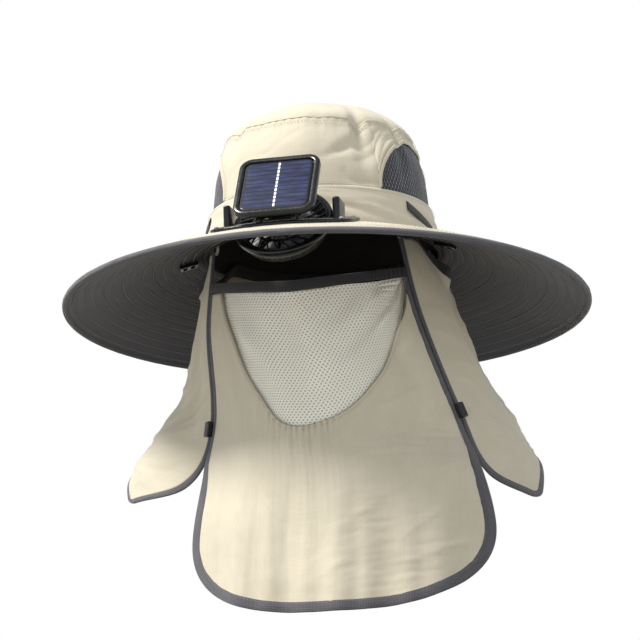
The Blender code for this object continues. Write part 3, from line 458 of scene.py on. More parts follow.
@dataclass(frozen=True)
class Yarn:
    """Sewing thread, with its twist."""

    name: str
    light: Colour
    dark: Colour

    def make(self) -> bpy.types.Material:
        """Builds the thread's material."""
        dye = Dye(self.name)
        twist = dye.grain(dye.solid(), (2600.0, 2600.0, 2600.0), 1.0)
        dye.paint(Base_Color=dye.mix(twist.step(0.35, 0.65), self.dark, self.light), Roughness=0.6)
        dye.bump(twist, 0.0001)
        return dye.material


@dataclass(frozen=True)
class SolarGlass:
    """A solar cell under clear resin: blue silicon, fine fingers and one dashed busbar."""

    name: str
    half_width: float
    half_length: float
    lines: int
    dashes: int

    def make(self) -> bpy.types.Material:
        """Builds the cell's material."""
        dye = Dye(self.name)
        spot, across, up = dye.flat()
        inside = (across.size() - self.half_width).step(0.0008, 0.0) * (
            up.size() - self.half_length
        ).step(0.0008, 0.0)
        pitch = 2 * self.half_length / self.lines
        line = (((up / pitch).part() - 0.5).size() * pitch).step(0.00065, 0.0003)
        grains = dye.grain(spot, (55.0, 190.0, 1.0), 3.0)
        haze = dye.grain(spot, (30.0, 45.0, 1.0), 2.0)
        silicon = dye.mix(grains.step(0.35, 0.68), (0.006, 0.009, 0.034), (0.022, 0.030, 0.095))
        silicon = dye.mix(haze.step(0.45, 0.8) * 0.5, silicon, (0.036, 0.050, 0.090))
        silicon = dye.mix(line * 0.85, silicon, (0.001, 0.002, 0.008))
        dash = 2 * self.half_length / self.dashes
        bar = across.size().step(0.0010, 0.0006)
        marks = (((up / dash).part() - 0.5).size() * dash).step(dash * 0.36, dash * 0.28)
        silver = bar * marks
        thin = across.size().step(0.0005, 0.0003)
        colour = dye.mix(thin * 0.7, silicon, (0.350, 0.360, 0.400))
        colour = dye.mix(silver, colour, (0.860, 0.860, 0.880))
        dye.paint(
            Base_Color=dye.mix(inside, (0.006, 0.007, 0.010), colour),
            Roughness=0.42 - silver * 0.1,
            Coat_Weight=0.12,
            Coat_Roughness=0.06,
            Specular_IOR_Level=0.10,
        )
        dye.bump(silver + line * 0.4, 0.00008)
        return dye.material


class Wardrobe:
    """The hat's finishes, each made once."""

    def __init__(self) -> None:
        """Makes every finish."""
        self.khaki = Cloth("khaki_poplin", (0.520, 0.476, 0.377), (0.452, 0.408, 0.313)).make()
        # the lining's last value paints shade onto it, darker towards the crown
        self.lining = Cloth(
            "charcoal_twill", (0.088, 0.090, 0.104), (0.066, 0.068, 0.080), 0.70, 0.05, 0.0011, 0.00006, 0.85
        ).make()
        # near-black: partly the sweatband's own colour, partly painted shade for the crown's shaded inside
        self.inside = Cloth(
            "dark_towelling", (0.020, 0.019, 0.020), (0.011, 0.010, 0.011), 0.9, 0.05, 0.0016, 0.0002
        ).make()
        self.rim_tape = Ribbed("pale_grey_tape", (0.112, 0.113, 0.124), (0.072, 0.073, 0.082)).make()
        self.binding = Ribbed("grey_violet_tape", (0.100, 0.097, 0.110), (0.052, 0.050, 0.058)).make()
        self.band = Ribbed("dark_tape", (0.022, 0.021, 0.025), (0.009, 0.009, 0.011)).make()
        self.webbing = Ribbed("black_webbing", (0.030, 0.029, 0.029), (0.008, 0.008, 0.008), 0.0014).make()
        # the air mesh's pale blue-grey is a painted glint, held to its ribs
        self.air_mesh = Holed(
            "navy_air_mesh", (0.016, 0.017, 0.025), (0.250, 0.260, 0.340), (0.0012, 0.0012, 0.0016),
            0.0036, 0.0033, 0.00150, 0.0007, 0.6, 1.0,
        ).make()
        # the birdseye's brownish hole colour is painted shade for the dim space behind the mesh
        self.birdseye = Holed(
            "birdseye_mesh", (0.700, 0.690, 0.600), (0.780, 0.770, 0.690), (0.290, 0.265, 0.205),
            0.0034, 0.0021, 0.00072, 0.00030, 0.8,
        ).make()
        self.black = Moulded("gloss_black", (0.016, 0.016, 0.017), (0.006, 0.006, 0.007), 0.22, 0.05).make()
        self.grey = Moulded("grey_moulding", (0.120, 0.122, 0.126), (0.060, 0.061, 0.064), 0.34, 0.15).make()
        self.blade = Moulded("pale_grey_moulding", (0.330, 0.337, 0.335), (0.260, 0.266, 0.264), 0.5).make()
        self.snap = Moulded("snap_plastic", (0.800, 0.790, 0.760), (0.560, 0.550, 0.520), 0.3, 0.3).make()
        self.steel = Moulded("screw_steel", (0.420, 0.420, 0.430), (0.250, 0.250, 0.260), 0.3).make()
        self.solar = SolarGlass("solar_glass", 0.0235, 0.0245, 11, 12).make()
        self.tan_thread = Yarn("tan_thread", (0.430, 0.380, 0.280), (0.330, 0.285, 0.200)).make()
        self.overlock = Yarn("overlock_thread", (0.400, 0.360, 0.280), (0.220, 0.200, 0.155)).make()
        # partly a painted highlight: paler than the lining so the quilting rings show as bright lines
        self.pale_thread_and_highlight = Yarn("pale_grey_thread", (0.270, 0.272, 0.295), (0.180, 0.182, 0.200)).make()
        self.grey_thread = Yarn("grey_thread", (0.130, 0.128, 0.140), (0.060, 0.058, 0.066)).make()


@contextmanager
def edited(mesh: bpy.types.Mesh) -> Iterator[bmesh.types.BMesh]:
    """Opens a mesh for editing and writes it back afterwards."""
    shape = bmesh.new()
    shape.from_mesh(mesh)
    yield shape
    shape.to_mesh(mesh)
    shape.free()


def laid_out(points: np.ndarray, faces: Sequence, marks: Sequence) -> bpy.types.Mesh:
    """A mesh with its flat coordinates, given for each face's corners in turn, as the UV map."""
    mesh = bpy.data.meshes.new("cloth")
    mesh.from_pydata(points.reshape(-1, 3).tolist(), [], faces)
    mesh.uv_layers.new(name=FLAT).data.foreach_set("uv", np.array(marks).ravel())
    return mesh


class ClothGrid:
    """A cloth laid out as a grid of points, with its own flat coordinates in metres."""

    def __init__(self, place: Place, columns: Sequence, rows: Sequence, closed: bool = False) -> None:
        """Lays the grid.

        Args:
            place: Gives the point at a column's and a row's value.
            columns: The columns' values.
            rows: The rows' values.
            closed: Whether the last column meets the first one.
        """
        self.columns = list(columns)
        self.rows = list(rows)
        self.closed = closed
        self.points = np.array([[tuple(place(c, r)) for r in self.rows] for c in self.columns])
        aside = np.linalg.norm(np.diff(self.points, axis=0), axis=2)
        below = np.linalg.norm(np.diff(self.points, axis=1), axis=2)
        across = np.vstack([np.zeros(len(self.rows)), np.cumsum(aside, axis=0)])
        down = np.hstack([np.zeros((len(self.columns), 1)), np.cumsum(below, axis=1)])
        across = across - across[len(self.columns) // 2]
        self.flat = np.stack([across, down], axis=2)

    def normals(self) -> np.ndarray:
        """The cloth's unit normals at the grid's points."""
        if self.closed:
            ring = self.points[:-1]
            aside = np.roll(ring, -1, axis=0) - np.roll(ring, 1, axis=0)
            aside = np.concatenate([aside, aside[:1]])
        else:
            aside = np.gradient(self.points, axis=0)
        below = np.gradient(self.points, axis=1)
        normal = np.cross(aside, below)
        length = np.linalg.norm(normal, axis=2, keepdims=True)
        return normal / np.maximum(length, 1e-12)

    def raised(self, relief: Relief) -> "ClothGrid":
        """Moves the points along the normals.

        Args:
            relief: Gives the height at a column's and a row's value and the flat coordinates.

        Returns:
            The grid itself.
        """
        lift = np.array([
            [relief(c, r, *self.flat[i, j]) for j, r in enumerate(self.rows)]
            for i, c in enumerate(self.columns)
        ])
        if self.closed:
            lift[-1] = lift[0]
        self.points = self.points + self.normals() * lift[:, :, None]
        return self

    def mesh(self) -> bpy.types.Mesh:
        """Turns the grid into a mesh."""
        across = len(self.columns)
        down = len(self.rows)
        ring = across - 1 if self.closed else across
        faces = []
        marks = []
        for i in range(across - 1):
            for j in range(down - 1):
                corners = ((i, j), (i + 1, j), (i + 1, j + 1), (i, j + 1))
                faces.append([(a % ring) * down + b for a, b in corners])
                marks.extend(self.flat[a, b] for a, b in corners)
        mesh = laid_out(self.points[:ring], faces, marks)
        with edited(mesh) as shape:
            bmesh.ops.remove_doubles(shape, verts=shape.verts, dist=1e-7)
        return mesh


@dataclass
class Piece:
    """One visible piece: how it is finished, what it stands for and which body it rides on."""

    name: str
    finish: bpy.types.Material
    slot: Slot
    replaces: tuple[str, ...] = ()
    body: Body = Body.HAT

    def place(self, mesh: bpy.types.Mesh) -> bpy.types.Object:
        """Puts the piece into the scene.

        Args:
            mesh: The piece's mesh, in the hat's frame.

        Returns:
            The object.
        """
        mesh.name = self.name
        mesh.shade_smooth()
        mesh.set_sharp_from_angle(angle=radians(SHARP_DEG))
        mesh.materials.clear()
        mesh.materials.append(self.finish)
        piece = bpy.data.objects.new(self.name, mesh)
        bpy.context.scene.collection.objects.link(piece)
        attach(piece, self.body.value)
        if self.replaces:
            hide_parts(*self.replaces)
        LOG.info("%s: %d faces", self.name, len(mesh.polygons))
        return piece


def walled(piece: bpy.types.Object, thickness: float) -> bpy.types.Object:
    """Gives an open surface its thickness, half on each side, and returns the piece."""
    wall = piece.modifiers.new("Wall", "SOLIDIFY")
    wall.thickness = thickness
    wall.offset = 0.0
    return piece


def bevelled(piece: bpy.types.Object, width: float) -> None:
    """Rounds a piece's edges."""
    round_off = piece.modifiers.new("Edges", "BEVEL")
    round_off.width = width
    round_off.segments = 3
    round_off.limit_method = "ANGLE"
    round_off.angle_limit = radians(BEVEL_DEG)


def tape_mesh(place: Place, stations: Sequence, width: float, thickness: float) -> bpy.types.Mesh:
    """A rounded flat tape along a cloth's edge, closed at both ends.

    Args:
        place: Gives the point at a station and a distance across the tape.
        stations: The stations along the tape.
        width: The tape's width.
        thickness: Its thickness.

    Returns:
        The mesh.
    """
    samples = [width * share for share in (0.0, 0.06, 0.2, 0.5, 0.8, 0.94, 1.0)]
    middle = ClothGrid(place, stations, samples)
    normals = middle.normals()
    rings = []
    flat = []
    order = list(range(len(samples))) + list(range(len(samples) - 2, 0, -1))
    for k, j in enumerate(order):
        side = 1 if k < len(samples) else -1
        offset = 2 * samples[j] / width - 1
        lift = side * thickness / 2 * (1 - min(1.0, abs(offset)) ** 5) ** 0.5
        rings.append(middle.points[:, j] + normals[:, j] * lift)
        flat.append(middle.flat[:, j])
    count = len(order)
    faces = []
    marks = []
    for i in range(len(stations) - 1):
        for k in range(count):
            after = (k + 1) % count
            corners = ((i, k), (i + 1, k), (i + 1, after), (i, after))
            faces.append([a * count + b for a, b in corners])
            marks.extend(flat[b][a] for a, b in corners)
    last = (len(stations) - 1) * count
    for end in (list(reversed(range(count))), [last + k for k in range(count)]):
        faces.append(end)
        marks.extend(flat[k % count][0 if end[0] < count else -1] for k in end)
    return outward(laid_out(np.stack(rings, axis=1), faces, marks))


def outward(mesh: bpy.types.Mesh) -> bpy.types.Mesh:
    """Merges a closed mesh's doubles, turns its faces outwards and returns it."""
    with edited(mesh) as shape:
        bmesh.ops.remove_doubles(shape, verts=shape.verts, dist=1e-7)
        bmesh.ops.recalc_face_normals(shape, faces=shape.faces)
    return mesh


def capped(mesh: bpy.types.Mesh) -> bpy.types.Mesh:
    """Closes a mesh's open ends and returns it."""
    with edited(mesh) as shape:
        open_edges = [edge for edge in shape.edges if edge.is_boundary]
        bmesh.ops.holes_fill(shape, edges=open_edges, sides=0)
        bmesh.ops.recalc_face_normals(shape, faces=shape.faces)
    return mesh


def tube(place: Place, stations: Sequence, sides: int, closed: bool = False) -> bpy.types.Mesh:
    """A solid round a line.

    Args:
        place: Gives the point at a station and a turn round the section.
        stations: The stations along the line.
        sides: How many sides the section has.
        closed: Whether the last station meets the first one.

    Returns:
        The mesh, closed at both ends unless they meet.
    """
    mesh = ClothGrid(place, stations, spread(0, 2 * pi, sides), closed).mesh()
    return outward(mesh if closed else capped(mesh))


def at(spot: Sequence[float], turn: float, axis: str) -> Matrix:
    """The matrix of a place and a turn there about one axis."""
    return Matrix.Translation(spot) @ Matrix.Rotation(turn, 4, axis)


class Tree:
    """A Geometry Nodes tree that ends in Realize Instances and Set Material."""

    def __init__(self, name: str, inputs: dict[str, tuple[str, Any]]) -> None:
        """Starts the tree.

        Args:
            name: The tree's name.
            inputs: Each input's socket type and default value, by name.
        """
        self.tree = bpy.data.node_groups.new(name, "GeometryNodeTree")
        face = self.tree.interface
        face.new_socket("Geometry", in_out="INPUT", socket_type="NodeSocketGeometry")
        self.keys = {}
        for label, (kind, value) in inputs.items():
            socket = face.new_socket(label, in_out="INPUT", socket_type="NodeSocket" + kind)
            self.keys[label] = socket.identifier
            if value is not None:
                socket.default_value = value
        face.new_socket("Geometry", in_out="OUTPUT", socket_type="NodeSocketGeometry")
        self.source = self.tree.nodes.new("NodeGroupInput")

    def add(self, kind: str, settings: dict | None = None, **links: Any) -> bpy.types.Node:
        """Adds a node.

        Args:
            kind: The node's type.
            settings: Its own settings.
            **links: What each socket, named with _ for a space, is linked or set to.

        Returns:
            The node.
        """
        node = self.tree.nodes.new(kind)
        for key, value in (settings or {}).items():
            setattr(node, key, value)
        for key, value in links.items():
            socket = next(s for s in node.inputs if s.name == key.replace("_", " ") and s.enabled)
            if isinstance(value, bpy.types.NodeSocket):
                self.tree.links.new(value, socket)
            else:
                socket.default_value = value
        return node

    def end(self, instances: bpy.types.NodeSocket) -> None:
        """Realizes the instances and gives them the tree's Finish."""
        real = self.add("GeometryNodeRealizeInstances", Geometry=instances)
        dressed = self.add(
            "GeometryNodeSetMaterial", Geometry=real.outputs[0], Material=self.source.outputs["Finish"]
        )
        sink = self.tree.nodes.new("NodeGroupOutput")
        self.tree.links.new(dressed.outputs[0], sink.inputs[0])

    def run(self, host: bpy.types.Mesh, values: dict[str, Any]) -> bpy.types.Mesh:
        """Runs the tree on a mesh.

        Args:
            host: The mesh that the tree starts from.
            values: The tree's inputs by name.

        Returns:
            The result as a plain mesh.
        """
        holder = bpy.data.objects.new("holder", host)
        bpy.context.scene.collection.objects.link(holder)
        nodes = holder.modifiers.new("Nodes", "NODES")
        nodes.node_group = self.tree
        for label, value in values.items():
            nodes[self.keys[label]] = value
        graph = bpy.context.evaluated_depsgraph_get()
        made = bpy.data.meshes.new_from_object(holder.evaluated_get(graph))
        holder.modifiers.remove(nodes)
        bpy.data.objects.remove(holder)
        return made


class Stitch(NamedTuple):
    """A kind of stitch: the distance between two, their length and the thread's thickness."""

    pitch: float
    length: float
    thickness: float


CROWN_STITCH = Stitch(0.0029, 0.0021, 0.0004)
BRIM_TOP_STITCH = Stitch(0.0034, 0.0026, 0.00045)
BRIM_UNDER_STITCH = Stitch(0.0034, 0.0029, 0.0009)
TAPE_STITCH = Stitch(0.0030, 0.0023, 0.00055)
INSERT_STITCH = Stitch(0.0030, 0.0022, 0.0005)


class Sewing:
    """Rows of stitches laid along lines on the cloth."""

    def __init__(self) -> None:
        """Builds the stitch tree."""
        self.tree = Tree("stitch_rows", {
            "Pitch": ("Float", TAPE_STITCH.pitch),
            "Length": ("Float", TAPE_STITCH.length),
            "Thickness": ("Float", TAPE_STITCH.thickness),
            "Finish": ("Material", None),
        })
        source = self.tree.source.outputs
        line = self.tree.add("GeometryNodeMeshToCurve", Mesh=source["Geometry"])
        spots = self.tree.add(
            "GeometryNodeCurveToPoints", {"mode": "LENGTH"}, Curve=line.outputs[0], Length=source["Pitch"]
        )
        ball = self.tree.add("GeometryNodeMeshUVSphere", Segments=6, Rings=4, Radius=0.5)
        size = self.tree.add(
            "ShaderNodeCombineXYZ", X=source["Thickness"], Y=source["Thickness"], Z=source["Length"]
        )
        stitch = self.tree.add("GeometryNodeTransform", Geometry=ball.outputs[0], Scale=size.outputs[0])
        rows = self.tree.add(
            "GeometryNodeInstanceOnPoints", Points=spots.outputs["Points"], Instance=stitch.outputs[0],
            Rotation=spots.outputs["Rotation"],
        )
        self.tree.end(rows.outputs[0])

    def sew(self, piece: Piece, lines: Sequence[Sequence], stitch: Stitch) -> None:
        """Sews stitches along lines, and places them as one piece.

        Args:
            piece: The stitches' piece, whose finish is the thread.
            lines: The lines, each a row of points.
            stitch: The kind of stitch.
        """
        points = []
        edges = []
        for line in lines:
            start = len(points)
            points.extend(tuple(spot) for spot in line)
            edges.extend((k, k + 1) for k in range(start, len(points) - 1))
        host = bpy.data.meshes.new("seam_lines")
        host.from_pydata(points, edges, [])
        sizes = {"Pitch": stitch.pitch, "Length": stitch.length, "Thickness": stitch.thickness}
        piece.place(self.tree.run(host, {**sizes, "Finish": piece.finish}))


def both_faces(place: Place, stations: Sequence, width: float, lift: float) -> list[list]:
    """Two lines for stitches near a tape's inner edge, one on each of its faces.

    Args:
        place: Gives the tape's point at a station and a distance across.
        stations: The stations along the tape.
        width: The tape's width.
        lift: How far the lines lie from the tape's middle.

    Returns:
        The two lines.
    """
    inner = ClothGrid(place, stations, [width - 0.0016, width - 0.0012])
    return [list(inner.points[:, 0] + inner.normals()[:, 0] * (side * lift)) for side in (1, -1)]


class Wheel:
    """Copies of one shape set round the Z axis."""

    def __init__(self) -> None:
        """Builds the tree."""
        self.tree = Tree("round_the_axis", {"Count": ("Int", 12), "Finish": ("Material", None)})
        source = self.tree.source.outputs
        spots = self.tree.add("GeometryNodeMeshLine", Count=source["Count"], Offset=(0.0, 0.0, 0.0))
        number = self.tree.add("GeometryNodeInputIndex")
        step = self.tree.add("ShaderNodeMath", {"operation": "DIVIDE"}, Value=2 * pi)
        self.tree.tree.links.new(source["Count"], step.inputs[1])
        angle = self.tree.add("ShaderNodeMath", {"operation": "MULTIPLY"}, Value=number.outputs[0])
        self.tree.tree.links.new(step.outputs[0], angle.inputs[1])
        around = self.tree.add("ShaderNodeCombineXYZ", Z=angle.outputs[0])
        copies = self.tree.add(
            "GeometryNodeInstanceOnPoints", Points=spots.outputs[0], Instance=source["Geometry"],
            Rotation=around.outputs[0],
        )
        self.tree.end(copies.outputs[0])

    def copies(self, shape: bpy.types.Mesh, count: int, finish: bpy.types.Material) -> bpy.types.Mesh:
        """Sets copies of a shape round the axis, and returns them as one mesh."""
        return self.tree.run(shape, {"Count": count, "Finish": finish})


def finished(shape: bmesh.types.BMesh) -> bpy.types.Mesh:
    """Turns a bmesh into a mesh."""
    mesh = bpy.data.meshes.new("shape")
    shape.to_mesh(mesh)
    shape.free()
    return mesh


def turned(profile: Sequence[tuple[float, float]], sides: int, spot: Matrix | None = None) -> bpy.types.Mesh:
    """A shape turned round the Z axis from its outline.

    Args:
        profile: The outline as (radius, height), closed on itself or ending on the axis.
        sides: How many sides the turn has.
        spot: Where the shape goes.

    Returns:
        The mesh.
    """
    shape = bmesh.new()
    corners = [shape.verts.new((radius, 0, height)) for radius, height in profile]
    pairs = list(zip(corners, corners[1:]))
    if profile[0][0] > 0 or profile[-1][0] > 0:
        pairs.append((corners[-1], corners[0]))
    edges = [shape.edges.new(pair) for pair in pairs]
    bmesh.ops.spin(
        shape, geom=corners + edges, axis=(0, 0, 1), cent=(0, 0, 0), angle=2 * pi, steps=sides
    )
    bmesh.ops.remove_doubles(shape, verts=shape.verts, dist=1e-6)
    bmesh.ops.recalc_face_normals(shape, faces=shape.faces)
    if spot:
        bmesh.ops.transform(shape, matrix=spot, verts=shape.verts)
    return finished(shape)


def joined(meshes: Sequence[bpy.types.Mesh]) -> bpy.types.Mesh:
    """Several meshes as one."""
    shape = bmesh.new()
    for mesh in meshes:
        shape.from_mesh(mesh)
    return finished(shape)


def moved(mesh: bpy.types.Mesh, spot: Matrix) -> bpy.types.Mesh:
    """The mesh set by a matrix."""
    mesh.transform(spot)
    return mesh


def outwards(spot: Vector) -> Vector:
    """The level direction from the upright axis to a point."""
    return Vector((spot.x, spot.y, 0.0)).normalized()


def unbroken(spots: Iterable, least: int) -> list[list]:
    """The runs of a line between its gaps, given as None, without those of fewer points than the least."""
    groups = groupby(spots, lambda spot: spot is not None)
    runs = [list(group) for there, group in groups if there]
    return [run for run in runs if len(run) >= least]


def copy_of(node: bpy.types.Object) -> bpy.types.Mesh:
    """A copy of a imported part's mesh with its doubles merged and flat faces joined."""
    shape = bmesh.new()
    shape.from_mesh(node.data)
    bmesh.ops.remove_doubles(shape, verts=shape.verts, dist=1e-6)
    bmesh.ops.dissolve_limit(shape, angle_limit=radians(1.0), verts=shape.verts, edges=shape.edges)
    return finished(shape)


@dataclass
class Crown:
    """The crown's walls, air vents, band and top, cut from creased cloth."""

    wardrobe: Wardrobe
    sewing: Sewing
    half_width: float = 0.095
    half_length: float = 0.109
    band_height: float = 0.030
    band_drop: float = 0.004
    seam_height: float = 0.089
    height: float = 0.119
    dome_power: float = 1.65
    vent_front: float = 45.0
    vent_back: float = 119.0
    vent_rise: float = 0.050
    cloth: float = 0.0011
    profile: tuple = ((-0.10, 1.0), (0.0, 1.0), (0.34, 0.942), (0.72, 0.895), (1.0, 0.806))
    dips: tuple = (
        # place, width, depth of the notches where the top seam puckers
        (37.0, 7.5, 0.0062),
        (63.0, 6.5, 0.0036),
        (-41.0, 9.0, 0.0030),
        (104.0, 9.0, 0.0040),
        (150.0, 10.0, 0.0030),
        (-96.0, 9.0, 0.0045),
        (-148.0, 11.0, 0.0035),
    )
    wall_height: float = 0.06
    pinches: tuple = (
        # place, rise, width, height, depth of the dents where the cloth is pulled together
        (31.0, 0.62, 0.011, 0.006, 0.0024),
        (43.0, 0.58, 0.008, 0.012, 0.0018),
        (24.0, 0.50, 0.016, 0.004, 0.0013),
        (50.0, 0.30, 0.010, 0.006, 0.0010),
    )

    def share(self, height: float) -> float:
        """The crown's half width at a height, as a share of its foot."""
        if height <= self.seam_height:
            knots = [row[0] for row in self.profile]
            return glide(height / self.seam_height, knots, [row[1] for row in self.profile])
        rise = min(1.0, (height - self.seam_height) / (self.height - self.seam_height))
        return self.profile[-1][1] * (1 - rise ** self.dome_power) ** (1 / self.dome_power)

    def point(self, deg: float, height: float, inward: float = 0.0) -> Vector:
        """A point of the crown's surface, moved inward by a length."""
        share = self.share(height)
        turn = radians(deg)
        half_x = self.half_width * share - inward
        half_y = self.half_length * share - inward
        return Vector((half_x * sin(turn), -half_y * cos(turn), height))

    @property
    def vent_middle(self) -> float:
        """The angle of the vents' middle."""
        return (self.vent_front + self.vent_back) / 2

    @property
    def vent_half(self) -> float:
        """Half the angle that a vent spans."""
        return (self.vent_back - self.vent_front) / 2

    def arch(self, deg: float, half: float) -> float:
        """An arch over a vent's middle: 1 there, and 0 from half its span away."""
        return sqrt(1 - min(1.0, abs(deg - self.vent_middle) / half) ** 2.2)

    def vent_top(self, deg: float) -> float:
        """The height of the vent's arched edge, or the band's top outside it."""
        deg = abs((deg + 180.0) % 360.0 - 180.0)
        return self.band_height + self.vent_rise * self.arch(deg, self.vent_half)

    def seen(self, deg: float, height: float, inward: float) -> Vector:
        """A point of the wall with its dents."""
        return self.dented(deg, height, self.point(deg, height, inward))

    def dip(self, deg: float) -> float:
        """How far the top seam drops at an angle."""
        deg = (deg + 180.0) % 360.0 - 180.0
        total = sum(depth * hump((deg - place) / width) ** 1.3 for place, width, depth in self.dips)
        return total + 0.0007 * crumple(deg, 0.0, 9.0, 1.0, 4.0)

    def dented(self, deg: float, height: float, spot: Vector) -> Vector:
        """Pulls a wall point in where the seam above it puckers, and pushes the cloth out beside it."""
        rise = max(0.0, height / self.seam_height)
        pull = self.dip(deg) * ease((rise - 0.25) / 0.75)
        out = outwards(spot)
        lobes = 0.0011 * sin(radians(deg) * 7.0 + 0.6) * ease((rise - 0.3) / 0.5)
        spot = spot - out * (pull * 0.75 - lobes)
        spot.z -= pull * ease((rise - 0.55) / 0.45)
        return spot

    def wrinkles(self, deg: float, share: float, across: float, down: float) -> float:
        """The relief of the crown's cloth: soft dents, diagonal creases and a crisp hand."""
        arc = radians(deg) * self.half_width
        high = share * self.wall_height
        calm = 1 - 0.8 * share ** 5
        turn = arc / self.half_width
        near = 0.35 + 0.65 * ease((turn - 0.20) / 0.35) * ease((1.15 - turn) / 0.25)
        soft = 0.0013 * crumple(arc, high, 0.040, 0.030, 2.0) * calm * near
        slant = 0.0011 * crease(arc + high * 0.9, high - arc * 0.45, 0.060, 0.022, 7.0) * calm * near
        fine = 0.00010 * crumple(arc, high, 0.006, 0.005, 5.0)
        near_seam = 0.00030 * sin(arc * 2 * pi / 0.0085 + 2 * crumple(arc, 0, 0.02, 1, 3.0)) * share ** 6
        pinch = 0.0
        for place, rise, wide, tall, depth in self.pinches:
            aside = arc - radians(place) * self.half_width
            above = (high - rise * self.wall_height - 0.35 * aside) / tall
            pinch += depth * exp(-(aside / wide) ** 2 - above * above)
        return soft - slant + fine + near_seam - pinch

    def vent_angles(self, front: float, back: float) -> list[float]:
        """Angles along half a wall, closer where the vent's edge is steep."""
        middle = self.vent_middle
        half = self.vent_half
        steps = 26
        if front < middle:
            angles = spread(front, middle - half, 34)
            angles += [middle - half * cos(pi / 2 * k / steps) for k in range(1, steps)]
            return angles + [back]
        angles = [front] + [middle + half * cos(pi / 2 * k / steps) for k in range(steps - 1, 0, -1)]
        return angles + spread(middle + half, back, 44)

    def wall(self, deg: float, share: float) -> Vector:
        """A point of a wall between the vent's edge or the band and the top seam."""
        low = self.vent_top(deg)
        height = low + (self.seam_height - low) * share
        return self.seen(deg, height, 0.0006)

    def build(self) -> None:
        """Builds every piece of the crown."""
        self.build_walls()
        self.build_vents()
        self.build_band()
        self.build_top()
        self.build_seams()
        self.build_sweatband()

    def build_sweatband(self) -> None:
        """The thin dark band that lines the crown's foot, partly painted shade: it is near-black and reaches higher
        at the back, where the crown's shaded inside shows.
        """
        def place(deg: float, share: float) -> Vector:
            """A point of the lining."""
            if share < 0.2:
                turn = pi * share / 0.2
                return self.point(deg, -self.band_drop - 0.0008 * sin(turn), 0.0008 - 0.0014 * cos(turn))
            # painted shade: the dark band reaches higher round the back of the crown
            rear = ease((abs((deg + 180.0) % 360.0 - 180.0) - 123.0) / 8.0)
            tall = self.band_height + self.band_drop - 0.0006 + 0.016 * rear
            return self.point(deg, -self.band_drop + tall * (share - 0.2) / 0.8, 0.0022)

        grid = ClothGrid(place, spread(0.0, 360.0, 240), spread(0, 1, 30), closed=True)
        piece = Piece("sweat_band", self.wardrobe.inside, Slot.LINING)
        walled(piece.place(grid.mesh()), 0.0004)

    def build_walls(self) -> None:
        """The front and back walls."""
        fore = self.vent_angles(0.0, self.vent_middle)
        rear = self.vent_angles(self.vent_middle, 180.0)
        for name, columns, width, area in (
            ("crown_front", [-deg for deg in reversed(fore[1:])] + fore, 0.265, 0.0113),
            ("crown_back", rear + [360.0 - deg for deg in reversed(rear[:-1])], 0.305, 0.0143),
        ):
            wall = ClothGrid(self.wall, columns, spread(0.0, 1.0, 44)).raised(self.wrinkles)
            piece = Piece(name + "_cloth", self.wardrobe.khaki, Slot.KHAKI, (name,))
            cloth = walled(piece.place(wall.mesh()), self.cloth)

    def build_vents(self) -> None:
        """The air mesh in each side and the piping round it."""
        for side, word in SIDES:
            def vent(deg: float, share: float, side: int = side) -> Vector:
                """A point of the vent's mesh."""
                high = min(self.vent_top(deg) + 0.004, self.seam_height - 0.004)
                height = self.band_height + (high - self.band_height) * share
                spot = self.seen(side * deg, height, 0.0027)
                return spot + outwards(spot) * 0.0012 * hump((deg - self.vent_middle) / 40.0) * sin(pi * share)

            grid = ClothGrid(vent, spread(self.vent_front - 1.5, self.vent_back + 1.5, 60), spread(0, 1, 28))
            grid.raised(lambda c, r, u, v: 0.0004 * crumple(u, v, 0.02, 0.015, 9.0))
            name = "air_mesh_" + word
            piece = Piece(name, self.wardrobe.air_mesh, Slot.AIR_MESH, ("mesh_panel_" + word,))
            walled(piece.place(grid.mesh()), 0.0009)
            self.build_piping(side, word)

    def build_piping(self, side: int, word: str) -> None:
        """The turned edge of the crown's cloth round one vent."""
        arch = [self.vent_middle - self.vent_half * cos(pi * k / 90) * 0.9995 for k in range(91)]

        def edge(deg: float, turn: float) -> Vector:
            """A point round the piping at an angle of the arch."""
            height = self.vent_top(deg)
            spot = self.seen(side * deg, height, 0.0006)
            out = outwards(spot)
            slope = (self.vent_top(deg + 0.4) - self.vent_top(deg - 0.4)) / (0.8 * self.half_width * pi / 180)
            along = Vector((cos(radians(side * deg)), sin(radians(side * deg)), 0.0)) * side
            across = (Vector((0, 0, 1)) - along * slope).normalized()
            return spot + across * (0.0016 * cos(turn)) + out * (0.0009 * sin(turn) + 0.0003)

        Piece("vent_piping_" + word, self.wardrobe.khaki, Slot.KHAKI).place(tube(edge, arch, 8))

    def build_band(self) -> None:
        """The band of cloth round the crown's foot, a little slack all round."""
        def band(deg: float, share: float) -> Vector:
            """A point of the band."""
            height = -self.band_drop + (self.band_height + self.band_drop) * share
            return self.point(deg, height, 0.0008)

        def slack(deg: float, share: float, across: float, down: float) -> float:
            """The band's long shallow wrinkles."""
            arc = radians(deg) * self.half_width
            high = share * 0.034
            middle = sin(pi * share) ** 0.7
            long = 0.0021 * crumple(arc + high * 1.2, high + arc * 0.10, 0.050, 0.0085, 12.0)
            fine = 0.00025 * crumple(arc, high, 0.010, 0.004, 15.0)
            return (long + fine) * middle + 0.0005 * middle

        grid = ClothGrid(band, spread(0.0, 360.0, 300), spread(0, 1, 24), closed=True).raised(slack)
        piece = Piece("crown_band", self.wardrobe.khaki, Slot.KHAKI, ("hat_band",))
        cloth = walled(piece.place(grid.mesh()), 0.0016)

